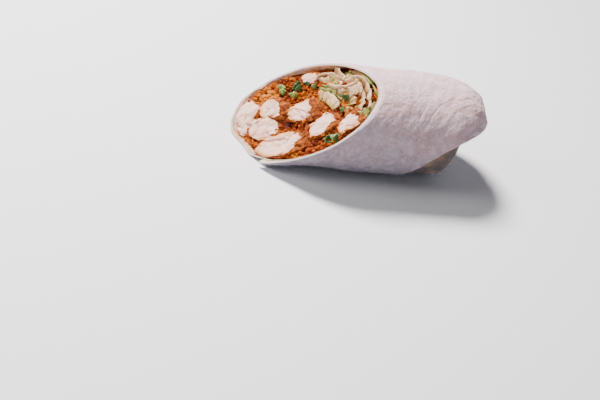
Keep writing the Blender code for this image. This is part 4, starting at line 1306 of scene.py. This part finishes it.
class WRAP_OT_stage(bpy.types.Operator):
    """A pale floor, soft lights and the camera"""

    bl_idname = "wrap.stage"
    bl_label = "Floor, lights and camera"

    def execute(self, context):
        self.floor()
        self.lights()
        self.camera(context)
        return {"FINISHED"}

    def floor(self):
        points = np.array([[x, y, -FLOOR_DROP] for x, y in ((-1, -1), (1, -1), (1, 1), (-1, 1))])
        points[:, :2] *= FLOOR_SIZE
        piece = mesh_from("floor", points, [[0, 1, 2, 3]])
        piece.data.materials.append(floor_finish())

    def area(self, name, place, target, size, power, colour):
        lamp = bpy.data.lights.new(name, "AREA")
        lamp.shape = "DISK"
        lamp.size = size
        lamp.energy = power
        lamp.color = colour
        holder = bpy.data.objects.new(name, lamp)
        back = np.array(place) - np.array(target)
        back /= np.linalg.norm(back)
        right = np.cross((0.0, 1.0, 0.0), back)
        right /= np.linalg.norm(right)
        up = np.cross(back, right)
        turned = Matrix([[right[i], up[i], back[i], place[i]] for i in range(3)] + [[0.0, 0.0, 0.0, 1.0]])
        holder.matrix_world = turned
        bpy.context.scene.collection.objects.link(holder)

    def lights(self):
        world = bpy.data.worlds.new("soft sky")
        world.use_nodes = True
        background = world.node_tree.nodes["Background"]
        background.inputs["Color"].default_value = SKY_COLOUR
        background.inputs["Strength"].default_value = SKY_STRENGTH
        bpy.context.scene.world = world
        for lamp in LAMPS:
            self.area(*lamp)

    def camera(self, context):
        back, right, up = camera_axes()
        aim = VIEW_CENTRE - (right * AIM_RIGHT + up * AIM_UP) * MM / IMAGE_PER_MM
        eye = VIEW_CENTRE + back * VIEW_DISTANCE
        toward = eye - aim
        toward /= np.linalg.norm(toward)
        side = np.cross(up, toward)
        side /= np.linalg.norm(side)
        top = np.cross(toward, side)
        camera = bpy.data.cameras.new("camera")
        camera.lens, camera.sensor_width = FOCAL, SENSOR
        camera.clip_start = 0.01
        holder = bpy.data.objects.new("camera", camera)
        rows = [[side[i], top[i], toward[i], eye[i]] for i in range(3)]
        holder.matrix_world = Matrix(rows + [[0.0, 0.0, 0.0, 1.0]])
        context.scene.collection.objects.link(holder)
        context.scene.camera = holder


def colour_property(name, description, default):
    kind = {"subtype": "COLOR", "min": 0.0, "max": 1.0}
    return FloatVectorProperty(name=name, description=description, default=default, **kind)


class WrapLook(bpy.types.PropertyGroup):
    """What a user would change: the colours, and the crumbs' number and size."""

    tortilla_colour: colour_property("Tortilla", "Floured skin of the tortilla", (0.76, 0.51, 0.55))
    flour_colour: colour_property("Flour", "Bloom of flour on the tortilla", (0.80, 0.67, 0.79))
    tortilla_warm_colour: colour_property("Warm patches", "Warmer, less floured skin", (0.74, 0.46, 0.44))
    # Painted shade: the dark colour the skin is painted low on the roll
    tortilla_low_shade_colour: colour_property("Lower side", "Greyer skin low on the roll", (0.11, 0.12, 0.17))
    toast_colour: colour_property("Toasted spots", "Where the tortilla met the pan", (0.50, 0.27, 0.16))
    chicken_colour: colour_property("Chicken", "White meat", (0.86, 0.61, 0.54))
    golden_colour: colour_property("Golden edge", "Where the white meat meets its coat", (0.74, 0.30, 0.07))
    sauce_colour: colour_property("Sauce", "Orange-brown sauce and crumb", (0.40, 0.080, 0.002))
    lettuce_rib_colour: colour_property("Lettuce rib", "Cream rib of the leaf", (0.76, 0.50, 0.31))
    lettuce_colour: colour_property("Lettuce", "Pale blade of the leaf", (0.44, 0.29, 0.08))
    onion_colour: colour_property("Spring onion", "Green of the onion", (0.085, 0.165, 0.018))
    crumb_count: IntProperty(name="Crumbs", description="The most crumbs drawn", default=1500, min=0)
    crumb_size: FloatProperty(
        name="Crumb size", description="Usual width of a crumb", default=1.45 * MM, unit="LENGTH", min=0.0
    )


class WRAP_PT_panel(bpy.types.Panel):
    """The wrap's pieces in the order in which they are built"""

    bl_label = "Chicken wrap"
    bl_space_type = "VIEW_3D"
    bl_region_type = "UI"
    bl_category = "Wrap"

    def draw(self, context):
        for name in WrapLook.__annotations__:
            self.layout.prop(context.scene.wrap_look, name)
        for operator in OPERATORS:
            self.layout.operator(operator.bl_idname)


OPERATORS = (
    WRAP_OT_tortilla,
    WRAP_OT_filling,
    WRAP_OT_chicken,
    WRAP_OT_crumbs,
    WRAP_OT_lettuce,
    WRAP_OT_onion,
    WRAP_OT_stage,
)
CLASSES = (WrapLook, *OPERATORS, WRAP_PT_panel)


def register():
    for each in CLASSES:
        bpy.utils.register_class(each)
    bpy.types.Scene.wrap_look = PointerProperty(type=WrapLook)


def unregister():
    del bpy.types.Scene.wrap_look
    for each in reversed(CLASSES):
        bpy.utils.unregister_class(each)


def main():
    register()
    bpy.ops.wrap.tortilla()
    bpy.ops.wrap.filling()
    bpy.ops.wrap.chicken()
    bpy.ops.wrap.crumbs()
    bpy.ops.wrap.lettuce()
    bpy.ops.wrap.onion()
    bpy.ops.wrap.stage()


if __name__ == "__main__":
    main()
